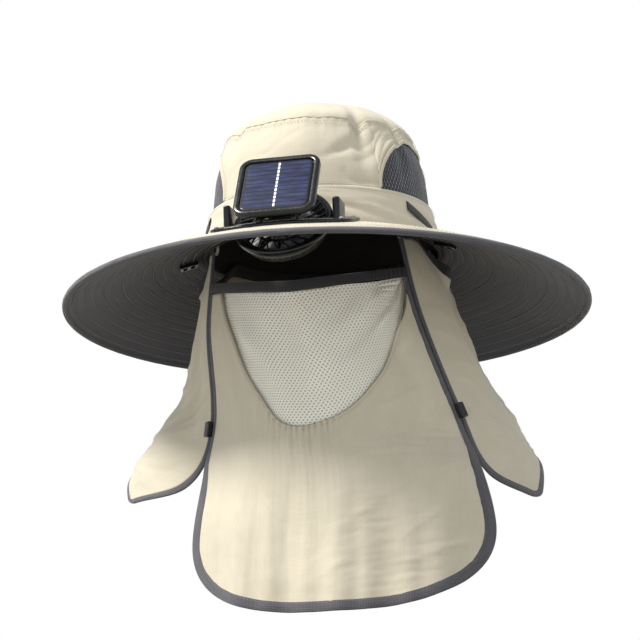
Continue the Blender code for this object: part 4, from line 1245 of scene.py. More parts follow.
    def build_top(self) -> None:
        """The crown's oval top, which rises from the puckered seam."""
        def dome(deg: float, share: float) -> Vector:
            """A point of the top."""
            rise = sin(share * pi / 2)
            height = self.seam_height + (self.height - self.seam_height) * rise
            spot = self.point(deg, height, 0.0006 * (1 - share))
            if share >= 1:
                return Vector((0.0, 0.0, self.height))
            fade = (1 - share) ** 5
            out = outwards(spot)
            lobes = 0.0011 * sin(radians(deg) * 7.0 + 0.6)
            pull = self.dip(deg)
            spot = spot - out * ((pull * 0.75 - lobes) * fade)
            spot.z -= pull * fade
            spot.z += 0.0013 * crumple(spot.x, spot.y, 0.035, 0.035, 21.0) * sin(pi * min(1.0, share * 1.2))
            return spot

        def hand(deg: float, share: float, across: float, down: float) -> float:
            """The top's creases."""
            spot = dome(deg, share)
            fold = 0.0011 * crease(spot.x + 0.4 * spot.y, spot.y, 0.060, 0.022, 31.0)
            return (0.0002 * crumple(spot.x, spot.y, 0.007, 0.007, 8.0) - fold * 0.6) * (1 - share ** 8)

        grid = ClothGrid(dome, spread(0, 360, 240), spread(0, 1, 46), closed=True).raised(hand)
        piece = Piece("crown_top_cloth", self.wardrobe.khaki, Slot.KHAKI, ("crown_top",))
        cloth = walled(piece.place(grid.mesh()), self.cloth)

    def build_seams(self) -> None:
        """The welted top seam and the stitches along the crown's seams."""
        def welt(deg: float, turn: float) -> Vector:
            """A point round the welt along the top seam."""
            spot = self.seen(deg, self.seam_height, 0.0006)
            return spot + outwards(spot) * (0.0009 * cos(turn) + 0.0003) + Vector((0, 0, 0.0011 * sin(turn)))

        mesh = tube(welt, spread(0, 360, 300), 6, closed=True)
        Piece("crown_welt", self.wardrobe.khaki, Slot.KHAKI).place(mesh)

        def sewn(deg: float, height: float) -> Vector | None:
            """A point of a level row of stitches, or None over a vent."""
            if self.band_height < height < self.vent_top(deg) + 0.001:
                return None
            return self.seen(deg, height, -0.0010 if height > self.band_height else -0.0013)

        lines = []
        for height in (self.seam_height - 0.0035, self.band_height + 0.0024, self.band_height - 0.0026):
            lines += unbroken((sewn(deg, height) for deg in spread(0, 360, 360)), 3)
        half = self.vent_half + 2.4
        for side in (1, -1):
            line = []
            for k in range(61):
                deg = self.vent_middle - half * cos(pi * k / 60)
                height = self.band_height + 0.003 + (self.vent_rise + 0.0005) * self.arch(deg, half)
                line.append(self.seen(side * deg, height, -0.0010))
            lines.append(line)
        self.sewing.sew(Piece("crown_stitches", self.wardrobe.tan_thread, Slot.KHAKI), lines, CROWN_STITCH)


@dataclass
class Brim:
    """The wide brim: two layers quilted together by rings of stitches, and its bound edge."""

    wardrobe: Wardrobe
    sewing: Sewing
    crown: Crown
    half_width: float = 0.213
    half_length: float = 0.226
    set_back: float = 0.011
    droop: float = 0.044
    droop_back: float = 0.013
    bend: float = 0.2
    root_gap: float = 0.0008
    binding_width: float = 0.005
    binding_height: float = 0.0066
    rings: int = 14
    hole: tuple = (0.0465, 0.0298, 6.0)
    hole_at: tuple = (0.002, -0.1413)

    def root(self, deg: float) -> float:
        """The brim's inner radius at an angle."""
        return ellipse_radius(deg, self.crown.half_width, self.crown.half_length) + self.root_gap

    def edge(self, deg: float) -> float:
        """The brim's outer radius at an angle, seen from the middle of the head opening."""
        turn = radians(deg)
        along = sin(turn) / self.half_width
        ahead = cos(turn) / self.half_length
        back = self.set_back / self.half_length
        square = along ** 2 + ahead ** 2
        return (-ahead * back + sqrt((ahead * back) ** 2 + square * (1 - back ** 2))) / square

    def height(self, x: float, y: float) -> float:
        """The height of the brim's upper face over a place on the plan."""
        deg = degrees(atan2(x, -y))
        root = self.root(deg)
        share = (sqrt(x * x + y * y) - root) / (self.edge(deg) - root)
        droop = self.droop - self.droop_back * cos(radians(deg))
        return -droop * share * (1 - self.bend + self.bend * share)

    def point(self, deg: float, share: float, drop: float = 0.0) -> Vector:
        """A point of the brim, by its angle and its share of the way to the edge."""
        radius = self.root(deg) + (self.edge(deg) - self.root(deg)) * share
        spot = polar(deg, radius, 0.0)
        spot.z = self.height(spot.x, spot.y) - drop
        return spot

    def quilt(self, share: float) -> float:
        """How far the cloth puffs between two rings of stitches: 0 at a stitch, 1 between."""
        return abs(sin(pi * share * self.rings)) ** 0.7

    def build(self) -> None:
        """Builds the layers, the binding and the stitches."""
        rows = spread(0.0, 0.968, self.rings * 6)
        for name, node, drop, finish, slot, puff in (
            ("brim_upper", "brim_top", 0.0006, self.wardrobe.khaki, Slot.KHAKI, 0.00022),
            ("brim_lower", "brim_under", 0.0026, self.wardrobe.lining, Slot.LINING, -0.00100),
        ):
            def layer(deg: float, share: float, drop: float = drop) -> Vector:
                """A point of the layer."""
                return self.point(deg, share, drop)

            grid = ClothGrid(layer, spread(0, 360, 260), rows, closed=True)
            up = -1.0 if grid.normals()[0, 5, 2] < 0 else 1.0

            def relief(deg: float, share: float, u: float, v: float, puff: float = puff, up: float = up) -> float:
                """The quilted rows and the cloth's slight waves."""
                arc = radians(deg) * 0.15
                waves = 0.0007 * crumple(arc, share * 0.1, 0.045, 0.030, 6.0) * share
                tight = 0.00010 * crumple(arc, share * 0.1, 0.006, 0.004, 9.0)
                return up * (puff * self.quilt(share) + waves + tight)

            mesh = grid.raised(relief).mesh()
            if up < 0:
                mesh.flip_normals()
            piece = Piece(name, finish, slot, (node,))
            cloth = walled(piece.place(self.pierced(mesh)), 0.0009)
        self.build_binding()
        self.build_stitches()

    def pierced(self, mesh: bpy.types.Mesh) -> bpy.types.Mesh:
        """Cuts the fan's hole out of a layer.

        Args:
            mesh: The layer.

        Returns:
            The layer with the hole.
        """
        half_x, half_y, power = self.hole
        mid_x, mid_y = self.hole_at
        ring = []
        for k in range(64):
            x, y = rounded_oval(2 * pi * k / 64, half_x, half_y, power)
            ring.append(Vector((x + mid_x, y + mid_y, 0.0)))
        planes = [
            (spot, (after - spot).cross(Vector((0, 0, 1))).normalized())
            for spot, after in zip(ring, ring[1:] + ring[:1])
        ]

        def near(face: bmesh.types.BMFace) -> bool:
            """Whether a face may be cut by the hole's edge."""
            spot = face.calc_center_median()
            return abs(spot.x - mid_x) < half_x + 0.01 and abs(spot.y - mid_y) < half_y + 0.01

        with edited(mesh) as shape:
            for spot, side in planes:
                faces = [face for face in shape.faces if near(face)]
                edges = {edge for face in faces for edge in face.edges}
                corners = {corner for face in faces for corner in face.verts}
                cut = faces + list(edges) + list(corners)
                bmesh.ops.bisect_plane(shape, geom=cut, plane_co=spot, plane_no=side, dist=1e-6)
            inside = []
            for face in filter(near, shape.faces):
                spot = face.calc_center_median()
                spot.z = 0.0
                if all((spot - at).dot(side) < 1e-7 for at, side in planes):
                    inside.append(face)
            bmesh.ops.delete(shape, geom=inside, context="FACES")
        return mesh

    def build_binding(self) -> None:
        """The ribbed tape folded over the brim's edge."""
        def bar(deg: float, turn: float) -> Vector:
            """A point round the tape."""
            middle = self.point(deg, 1.0, 0.00165)
            out = polar(deg, 1.0, 0.0)
            across, up = rounded_oval(turn, self.binding_width / 2, self.binding_height / 2 - 0.0008, 2.6)
            waver = 0.0003 * crumple(radians(deg) * 0.2, turn, 0.012, 2.0, 3.0)
            return middle + out * (across - self.binding_width / 2 + waver) + Vector((0, 0, up))

        piece = Piece("brim_edge_tape", self.wardrobe.rim_tape, Slot.BINDING, ("brim_binding",))
        piece.place(tube(bar, spread(0, 360, 420), 14, closed=True))

    def build_stitches(self) -> None:
        """Rings of stitches through both layers and the rows along the binding."""
        for face, thread, slot, stitch, ring_lift, edge_rows in (
            # the underside's pale thread is partly a painted highlight along the quilting rings
            ("under", self.wardrobe.pale_thread_and_highlight, Slot.LINING, BRIM_UNDER_STITCH, 0.0037,
             ((0.955, 0.0034), (0.940, 0.0034))),
            ("top", self.wardrobe.tan_thread, Slot.KHAKI, BRIM_TOP_STITCH, 0.0, ((0.955, -0.0001),)),
        ):
            lines = []
            for k in range(1, self.rings):
                spots = [self.point(deg, k / self.rings, ring_lift) for deg in spread(0, 360, 220)]
                lines += unbroken((None if self.over_hole(spot) else spot for spot in spots), 2)
            for share, lift in edge_rows:
                lines.append([self.point(deg, share, lift) for deg in spread(0, 360, 260)])
            self.sewing.sew(Piece("brim_stitches_" + face, thread, slot), lines, stitch)

    def over_hole(self, spot: Vector) -> bool:
        """Whether a point lies over the fan's hole or its flange."""
        x = abs(spot.x - self.hole_at[0])
        y = abs(spot.y - self.hole_at[1])
        return x < self.hole[0] + 0.001 and y < self.hole[1] + 0.001


def rounded_box(size: Sequence[float], spot: Matrix, radius: float, segments: int = 3) -> bpy.types.Mesh:
    """A box with rounded edges.

    Args:
        size: Its three sides.
        spot: Where it goes.
        radius: The edges' radius.
        segments: How many faces round off an edge.

    Returns:
        The mesh.
    """
    shape = bmesh.new()
    bmesh.ops.create_cube(shape, size=1.0, matrix=Matrix.Diagonal((*size, 1.0)))
    bmesh.ops.bevel(
        shape, geom=shape.edges[:] + shape.verts[:], offset=radius, segments=segments, profile=0.5,
        affect="EDGES",
    )
    bmesh.ops.transform(shape, matrix=spot, verts=shape.verts)
    return finished(shape)


def rod(radius: float, length: float, spot: Matrix, edge: float = 0.0004, sides: int = 32) -> bpy.types.Mesh:
    """A round rod along the Z axis of a matrix, with chamfered ends."""
    half = length / 2
    return turned(
        [(0, -half), (radius - edge, -half), (radius, edge - half), (radius, half - edge),
         (radius - edge, half), (0, half)],
        sides, spot,
    )


def screw(radius: float, spot: Matrix) -> bpy.types.Mesh:
    """A pan-head screw with a cross recess, its face towards a matrix's Z axis."""
    head = turned(
        [(0, radius * 0.28), (radius * 0.30, radius * 0.30), (radius * 0.34, radius * 0.52),
         (radius * 0.70, radius * 0.44), (radius, radius * 0.12), (radius, -radius * 0.3), (0, -radius * 0.3)],
        20,
    )
    parts = [head]
    for turn in range(4):
        wing = Matrix.Rotation(turn * pi / 2 + pi / 4, 4, "Z") @ Matrix.Translation((radius * 0.45, 0, radius * 0.40))
        parts.append(rounded_box((radius * 0.5, radius * 0.34, radius * 0.22), wing, radius * 0.08, 1))
    return moved(joined(parts), spot)


@dataclass
class FanUnit:
    """The fan that tilts in its frame in the brim: ring, grilles, motor and rotor."""

    wardrobe: Wardrobe
    wheel: Wheel
    brim: Brim
    x: float = 0.002
    y: float = -0.1455
    drop: float = 0.0135
    tilt: float = 52.0
    radius: float = 0.038
    depth: float = 0.016
    wall: float = 0.0035
    rear: float = 0.030
    waist: float = 0.0045
    play: float = 0.001
    flange_sheet: float = 0.0025
    flange: tuple = (0.055, 0.0325, 4.0)
    flange_shift: float = 0.0025
    opening: tuple = (0.039, 0.0248, 6.0)
    opening_shift: float = 0.0067
    ear: tuple = (0.0055, 0.022, 0.022)
    ear_sink: float = 0.007
    hub: float = 0.0125
    bars: int = 13
    bar: float = 0.0014
    bar_half: float = 0.0008
    rim_gap: float = 0.0004
    twist: float = 24.0
    blades: int = 9
    blade_root: float = 0.0096
    blade_tip: float = 0.0272
    blade_chord: float = 0.0085
    motor_height: float = 0.0042
    hub_height: float = 0.0054

    def matrix(self) -> Matrix:
        """The fan's own axes: Z along its shaft, towards the front and up."""
        return at((self.x, self.y, -self.drop), radians(self.tilt), "X")

    def top(self, x: float, y: float) -> float:
        """The height of the flange's upper face."""
        return self.brim.height(x, y) + 0.0003 + self.flange_sheet

    def build(self) -> None:
        """Builds the frame and everything that turns in it."""
        self.build_frame()
        self.build_ring()
        self.build_grilles()
        self.build_rotor()

    def build_frame(self) -> None:
        """The flange on the brim, the fan's ears and the panel's lugs."""
        def place(turn: float, round_off: float) -> Vector:
            """A point round the flange's section."""
            aside, lift = rounded_oval(round_off, 0.5, self.flange_sheet / 2, 7.0)
            share = aside + 0.5
            x1, y1 = rounded_oval(turn, *self.opening)
            x2, y2 = rounded_oval(turn, *self.flange)
            x = self.x + x1 + (x2 - x1) * share
            y = self.y + (y1 + self.opening_shift) * (1 - share) + (y2 + self.flange_shift) * share
            swell = 0.0006 * sin(pi * min(1.0, share)) if lift > 0 else 0.0
            return Vector((x, y, self.top(x, y) - self.flange_sheet / 2 + lift + swell))

        parts = [tube(place, spread(0, 2 * pi, 120), 28, closed=True)]
        screws = []
        for side in (1, -1):
            x = self.x + side * (self.opening[0] + self.ear[0] / 2)
            low = self.top(x, self.y) - self.flange_sheet / 2
            middle = Matrix.Translation((x, self.y, low + self.ear[2] / 2 - self.ear_sink))
            parts.append(rounded_box(self.ear, middle, 0.0016, 4))
            pivot = at((x, self.y, -self.drop), side * pi / 2, "Y")
            parts.append(rod(0.0052, self.ear[0] + 0.0012, pivot, 0.0005))
            screws.append(screw(0.0030, pivot @ Matrix.Translation((0, 0, self.ear[0] / 2 + 0.0006))))
        pin = SolarPanel.pin_of(self)
        for side in (1, -1):
            x = self.x + side * (0.011 + 0.0004 + 0.002)
            foot = self.top(x, pin.y) - self.flange_sheet / 2
            tall = pin.z + 0.003 - foot
            spot = Matrix.Translation((x, pin.y, foot + tall / 2))
            parts.append(rounded_box((0.004, 0.007, tall), spot, 0.0009, 3))
            cap = at((x, pin.y, pin.z), side * pi / 2, "Y")
            parts.append(rod(0.0026, 0.0046, cap, 0.0004, 24))
        for x_side in (1, -1):
            for y_side in (1, -1):
                x = self.x + x_side * 0.0475
                y = self.y + self.flange_shift + y_side * 0.0225
                screws.append(screw(0.0019, Matrix.Translation((x, y, self.top(x, y) + 0.0004))))
        piece = Piece("fan_bezel", self.wardrobe.black, Slot.BLACK, ("fan_frame",))
        piece.place(joined(parts))
        Piece("fan_screws", self.wardrobe.steel, Slot.GREY).place(joined(screws))

    def build_ring(self) -> None:
        """The ring, ribbed round its outside, with its two pivots."""
        half = self.depth / 2
        inner = self.radius - self.wall
        foot = self.inside(-half)
        outline = [(foot, -half + 0.0004), (foot + 0.0004, -half), (self.rear - 0.0007, -half)]
        for part in (0.06, 0.40, 0.43, 0.46, 0.94):
            level = -half + (self.waist + half) * part
            bulge = 0.0005 * sin(pi * part) - (0.0004 if part == 0.43 else 0.0)
            outline.append((self.rear + (self.radius - self.rear) * part + bulge, level))
        outline += [
            (self.radius, self.waist + 0.0006), (self.radius - 0.0002, half - 0.0016),
            (self.radius - 0.0011, half - 0.0002), (self.radius - 0.0017, half), (inner + 0.0006, half),
            (inner, half - 0.0006), (inner, self.waist),
        ]
        parts = [turned(outline, 96)]
        for side in (1, -1):
            reach = self.radius + self.ear[0] + self.play
            start = self.inside(0.0) + self.wall / 2
            spot = at((side * (reach + start) / 2, 0, 0), pi / 2, "Y")
            parts.append(rod(0.0024, reach - start, spot, 0.0003, 20))
        mesh = moved(joined(parts), self.matrix())
        Piece("fan_hoop", self.wardrobe.black, Slot.BLACK, ("fan_ring",), Body.FAN).place(mesh)

    def inside(self, level: float) -> float:
        """The ring's inner radius at a height on the fan's axis: it narrows below its waist."""
        part = max(0.0, (self.waist - level) / (self.waist + self.depth / 2))
        return self.radius - self.wall - (self.radius - self.rear) * part

    def grille_bar(self, level: float, low: float, high: float, turned_by: float) -> bpy.types.Mesh:
        """One curved bar of a grille.

        Args:
            level: The grille's height on the fan's axis.
            low: Where the bar starts.
            high: Where it ends.
            turned_by: An angle that the bar is turned by.

        Returns:
            The bar.
        """
        outer = self.radius - self.wall

        def place(reach: float, round_off: float) -> Vector:
            """A point round the bar's section."""
            share = (reach - self.hub) / (outer - self.hub)
            turn = radians(self.twist) * share + turned_by
            aside, lift = rounded_oval(round_off, self.bar / 2, self.bar_half, 3.5)
            out = Vector((cos(turn), sin(turn), 0.0))
            across = Vector((-sin(turn), cos(turn), 0.0))
            return out * reach + across * aside + Vector((0, 0, level + lift))

        return tube(place, spread(low, high, 6), 8)

    def build_grilles(self) -> None:
        """The two round grilles, with slanted bars between a hub and two hoops."""
        level = self.depth / 2 - self.rim_gap - self.bar_half
        for word, height, face in (("top", level, 1), ("bottom", -level, -1)):
            outer = self.inside(height - 0.0008) - 0.0003
            middle = (self.hub + outer - self.bar) / 2
            few = self.grille_bar(height, self.hub - 0.001, middle, 0.0)
            many = joined([
                self.grille_bar(height, middle, outer - 0.0006, turned_by) for turned_by in (0.0, pi / self.bars)
            ])
            hoops = [
                self.wheel.copies(few, self.bars, self.wardrobe.black),
                self.wheel.copies(many, self.bars, self.wardrobe.black),
            ]
            for low, high in ((outer - self.bar, outer), (middle - self.bar / 2, middle + self.bar / 2)):
                hoops.append(turned(
                    [(low, height - 0.0008), (high, height - 0.0008), (high, height + 0.0005),
                     (high - 0.0003, height + 0.0008), (low + 0.0003, height + 0.0008), (low, height + 0.0005)],
                    72,
                ))
            dome = [(0, height - face * 0.0008), (self.hub, height - face * 0.0008),
                    (self.hub, height + face * 0.0005), (self.hub - 0.0004, height + face * 0.0009),
                    (self.hub * 0.72, height + face * 0.0009), (self.hub * 0.68, height + face * 0.0005),
                    (0, height + face * 0.0006)]
            hoops.append(turned(dome, 48))
            mesh = moved(joined(hoops), self.matrix())
            piece = Piece("fan_guard_" + word, self.wardrobe.black, Slot.BLACK, ("fan_grille_" + word,), Body.FAN)
            piece.place(mesh)

    def build_rotor(self) -> None:
        """The motor and the rotor with its twisted blades."""
        under = self.depth / 2 - self.rim_gap - 2 * self.bar_half - 0.0003
        foot = under - self.motor_height
        can = [(0, foot), (0.0098, foot), (0.0105, foot + 0.0006), (0.0105, under), (0, under)]
        motor = moved(turned(can, 40), self.matrix())
        Piece("fan_can", self.wardrobe.grey, Slot.GREY, ("fan_motor",), Body.FAN).place(motor)
        top = foot - 0.0008
        low = top - self.hub_height

        def blade(reach: float, round_off: float) -> Vector:
            """A point round the blade's section."""
            share = (reach - self.blade_root) / (self.blade_tip - self.blade_root)
            pitch = radians(28 - 13 * share)
            chord = self.blade_chord * (1 + share)
            aside, lift = rounded_oval(round_off, chord / 2, 0.0006, 2.4)
            lift += 0.0006 * (1 - (2 * aside / chord) ** 2)
            across = Vector((0, cos(pitch), sin(pitch)))
            normal = Vector((0, -sin(pitch), cos(pitch)))
            sweep = Matrix.Rotation(radians(10 * share * share), 3, "Z")
            return sweep @ (Vector((reach, 0, (top + low) / 2)) + across * aside + normal * lift)

        shape = tube(blade, spread(self.blade_root + 0.0004, self.blade_tip, 10), 12)
        blades = self.wheel.copies(shape, self.blades, self.wardrobe.blade)
        hub = turned(
            [(0.0016, top), (0.0113, top), (0.012, top - 0.0007), (0.012, low + 0.0012), (0.0105, low),
             (0.0016, low)],
            40,
        )
        mesh = moved(joined([hub, blades]), self.matrix())
        Piece("fan_wheel", self.wardrobe.blade, Slot.GREY, ("fan_rotor",), Body.ROTOR).place(mesh)


@dataclass
class SolarPanel:
    """The square solar panel that is hinged at the front of the fan's frame."""

    wardrobe: Wardrobe
    fan: FanUnit
    size: float = 0.062
    corner: float = 0.010
    depth: float = 0.005
    tilt: float = 56.0
    rim: float = 0.0045
    behind: float = 0.006
    hinge_up: float = 0.010
    recess: float = 0.0022

    @staticmethod
    def pin_of(fan: FanUnit) -> Vector:
        """The middle of the panel's hinge pin."""
        y = fan.y + fan.flange_shift - fan.flange[1] + 0.0045
        return Vector((fan.x, y, fan.top(fan.x, y) + 0.0056))

    def axes(self) -> tuple[Vector, Vector, Vector]:
        """The pin's middle, and the panel's up and outward directions."""
        tilt = radians(self.tilt)
        return self.pin_of(self.fan), Vector((0, cos(tilt), sin(tilt))), Vector((0, -sin(tilt), cos(tilt)))

    def outline(self, step: int, inset: float, half: float, corner: float) -> tuple[float, float]:
        """A point of a rounded square's outline, moved inwards.

        Args:
            step: Which of its 48 points.
            inset: How far inwards.
            half: Half of the square's side.
            corner: The corner's radius.

        Returns:
            The point, across and up.
        """
        quarter, part = divmod(step % 48, 12)
        turn = quarter * pi / 2 + pi / 2 * min(1.0, part / 9)
        middle = Vector((half - corner, half - corner, 0))
        middle.rotate(Matrix.Rotation(quarter * pi / 2, 3, "Z"))
        spot = middle + Vector((cos(turn), sin(turn), 0)) * max(0.0, corner - inset)
        if part > 9:
            after = Vector((half - corner, half - corner, 0))
            after.rotate(Matrix.Rotation((quarter + 1) * pi / 2, 3, "Z"))
            start = after + Vector((cos(turn), sin(turn), 0)) * max(0.0, corner - inset)
            spot = spot.lerp(start, (part - 9) / 3)
        if inset > corner:
            shrink = max(0.0, 1 - (inset - corner) / (half - corner))
            spot = spot * shrink
        return spot.x, spot.y

    def plate(self, half: float, corner: float, section: Sequence) -> bpy.types.Mesh:
        """A rounded square plate made from its section, from the back's middle to the face's middle.

        Args:
            half: Half of its side.
            corner: Its corner's radius.
            section: Insets and heights.

        Returns:
            The mesh, with flat coordinates centred on the plate.
        """
        def place(step: int, row: tuple) -> Vector:
            """A point of the plate."""
            x, y = self.outline(step, row[0], half, corner)
            return Vector((x, y, row[1]))

        mesh = outward(ClothGrid(place, list(range(49)), section, closed=True).mesh())
        layer = mesh.uv_layers[FLAT].data
        for loop in mesh.loops:
            layer[loop.index].uv = mesh.vertices[loop.vertex_index].co.xy
        return mesh

    def build(self) -> None:
        """Builds the tray, its hinge and the cell."""
        pin, up, out = self.axes()
        turn = Matrix((Vector((1, 0, 0)), up, out)).transposed().to_4x4()
        middle = pin + out * self.behind + up * (self.size / 2 - self.hinge_up)
        spot = Matrix.Translation(middle) @ turn
        half = self.size / 2
        d = self.depth
        floor_level = d - self.recess
        tray = self.plate(half, self.corner, [
            (half, 0.0), (0.006, 0.0), (0.0052, 0.0005), (0.0040, 0.0005), (0.0030, 0.0), (0.0008, 0.0),
            (0.00025, 0.00025), (0.0, 0.0008), (0.0, d - 0.0012), (0.0003, d - 0.0005), (0.0010, d),
            (self.rim - 0.0008, d), (self.rim - 0.0002, d - 0.0003), (self.rim, d - 0.0008),
            (self.rim + 0.0001, floor_level), (half, floor_level),
        ])
        parts = [moved(tray, spot)]
        across = at(pin, pi / 2, "Y")
        parts.append(rod(0.003, 0.022, across, 0.0004))
        parts.append(rod(0.0015, 0.0308, across, 0.0003, 20))
        arm = Matrix.Translation(pin + out * self.behind / 2) @ turn
        parts.append(rounded_box((0.018, 0.005, self.behind + 0.001), arm, 0.0005, 2))
        for shift in (-0.006, 0.006):
            rib = spot @ Matrix.Translation((shift, -half + 0.016, -0.0004))
            parts.append(rounded_box((0.0016, 0.018, 0.0018), rib, 0.0004, 2))
        piece = Piece("solar_frame", self.wardrobe.black, Slot.BLACK, ("solar_tray",), Body.PANEL)
        piece.place(joined(parts))
        screws = []
        for x in (-1, 1):
            for y in (-1, 1):
                back = spot @ Matrix.Translation((x * (half - 0.010), y * (half - 0.010), -0.0002))
                screws.append(screw(0.0018, back @ Matrix.Rotation(pi, 4, "X")))
        Piece("solar_screws", self.wardrobe.steel, Slot.GREY, body=Body.PANEL).place(joined(screws))
        cell_half = half - self.rim - 0.0003
        level = floor_level + 0.0003
        cell = self.plate(cell_half, self.corner * 0.6 - 0.0003, [
            (cell_half, level), (0.0, level), (0.0, level + 0.0007), (0.0003, level + 0.00095),
            (0.0012, level + 0.0010), (0.006, level + 0.00108), (0.014, level + 0.00112),
            (cell_half, level + 0.00115),
        ])
        piece = Piece("solar_wafer", self.wardrobe.solar, Slot.CELL, ("solar_cell",), Body.PANEL)
        piece.place(moved(cell, spot))


class Level(NamedTuple):
    """One level of the cape: radii are shares of its reach, heights of its drop."""

    share: float
    edge_deg: float
    front: float
    side: float
    rear: float
    back: float
    front_z: float
    side_z: float
    rear_z: float
    back_z: float


class Fold(NamedTuple):
    """A fold that runs down a cloth: where it lies, how wide and how deep it is."""

    place: float
    width: float
    depth: float
    start: float
    end: float


class MaskSection(NamedTuple):
    """One height of the mask, as a share of its drop; the rest are shares of its reach."""

    height: float
    right_x: float
    right_y: float
    left_x: float
    left_y: float
    middle_y: float
    power: float


CAPE_STATIONS = (0.0, 0.2, 0.55, 1.0)
CAPE_LEFT = (
    Level(0.00, 50.0, 0.00, 0.00, 0.00, 0.00, -0.04, -0.02, -0.02, -0.02),
    Level(0.25, 53.0, 1.08, 1.08, 1.12, 1.14, -0.34, -0.30, -0.28, -0.28),
    Level(0.55, 57.0, 1.38, 1.34, 1.26, 1.20, -0.75, -0.64, -0.50, -0.60),
    Level(0.80, 66.0, 1.47, 1.50, 1.37, 1.26, -0.98, -0.78, -0.62, -0.83),
    Level(1.00, 84.0, 1.69, 1.66, 1.46, 1.31, -1.07, -0.88, -0.78, -1.05),
)
CAPE_RIGHT = (
    Level(0.00, 52.0, 0.00, 0.00, 0.00, 0.00, -0.04, -0.02, -0.02, -0.02),
    Level(0.25, 53.0, 1.01, 1.04, 1.10, 1.14, -0.34, -0.30, -0.28, -0.28),
    Level(0.55, 49.0, 1.03, 1.12, 1.18, 1.20, -0.75, -0.60, -0.49, -0.60),
    Level(0.80, 56.0, 1.22, 1.38, 1.32, 1.26, -0.97, -0.74, -0.60, -0.83),
    Level(1.00, 84.0, 1.63, 1.76, 1.50, 1.31, -0.99, -0.83, -0.76, -1.05),
)
CAPE_FOLDS_LEFT = (
    Fold(72.0, 13.0, 0.055, 0.05, 0.60),
    Fold(97.0, 12.0, -0.110, 0.10, 0.75),
    Fold(118.0, 15.0, 0.060, 0.25, 1.30),
    Fold(145.0, 18.0, -0.050, 0.20, 1.30),
)
CAPE_FOLDS_RIGHT = (
    Fold(68.0, 12.0, -0.050, 0.15, 0.80),
    Fold(92.0, 13.0, 0.060, 0.20, 0.90),
    Fold(120.0, 16.0, -0.055, 0.20, 1.30),
    Fold(150.0, 18.0, 0.045, 0.20, 1.30),
)
MASK_SECTIONS = (
    MaskSection(0.10, -0.76, -0.62, 0.76, -0.63, -1.19, 1.7),
    MaskSection(0.33, -0.79, -0.63, 0.96, -0.74, -1.22, 1.8),
    MaskSection(0.50, -0.78, -0.71, 1.14, -0.80, -1.25, 2.0),
    MaskSection(0.62, -0.81, -0.86, 1.31, -0.90, -1.34, 2.2),
    MaskSection(0.78, -0.87, -0.99, 1.43, -0.96, -1.44, 2.4),
    MaskSection(1.00, -0.90, -1.05, 1.44, -1.02, -1.52, 2.4),
)
# the insert's lower edge: share of the mask's half width, drop below the crown's foot
INSERT_EDGE = (
    (-0.850, 0.0405), (-0.795, 0.0580), (-0.706, 0.0809), (-0.611, 0.1108), (-0.509, 0.1300), (-0.392, 0.1481),
    (-0.290, 0.1568), (-0.137, 0.1603), (0.102, 0.1550), (0.297, 0.1441), (0.500, 0.1261), (0.619, 0.1130),
    (0.781, 0.0879), (0.896, 0.0663), (0.950, 0.0490), (0.965, 0.0405),
)
MASK_FOLDS = (
    Fold(-0.62, 0.16, 0.040, 0.50, 1.40),
    Fold(-0.28, 0.15, -0.045, 0.55, 1.40),
    Fold(0.05, 0.14, 0.040, 0.55, 1.40),
    Fold(0.36, 0.15, -0.040, 0.60, 1.40),
    Fold(0.68, 0.14, 0.035, 0.50, 1.40),
)


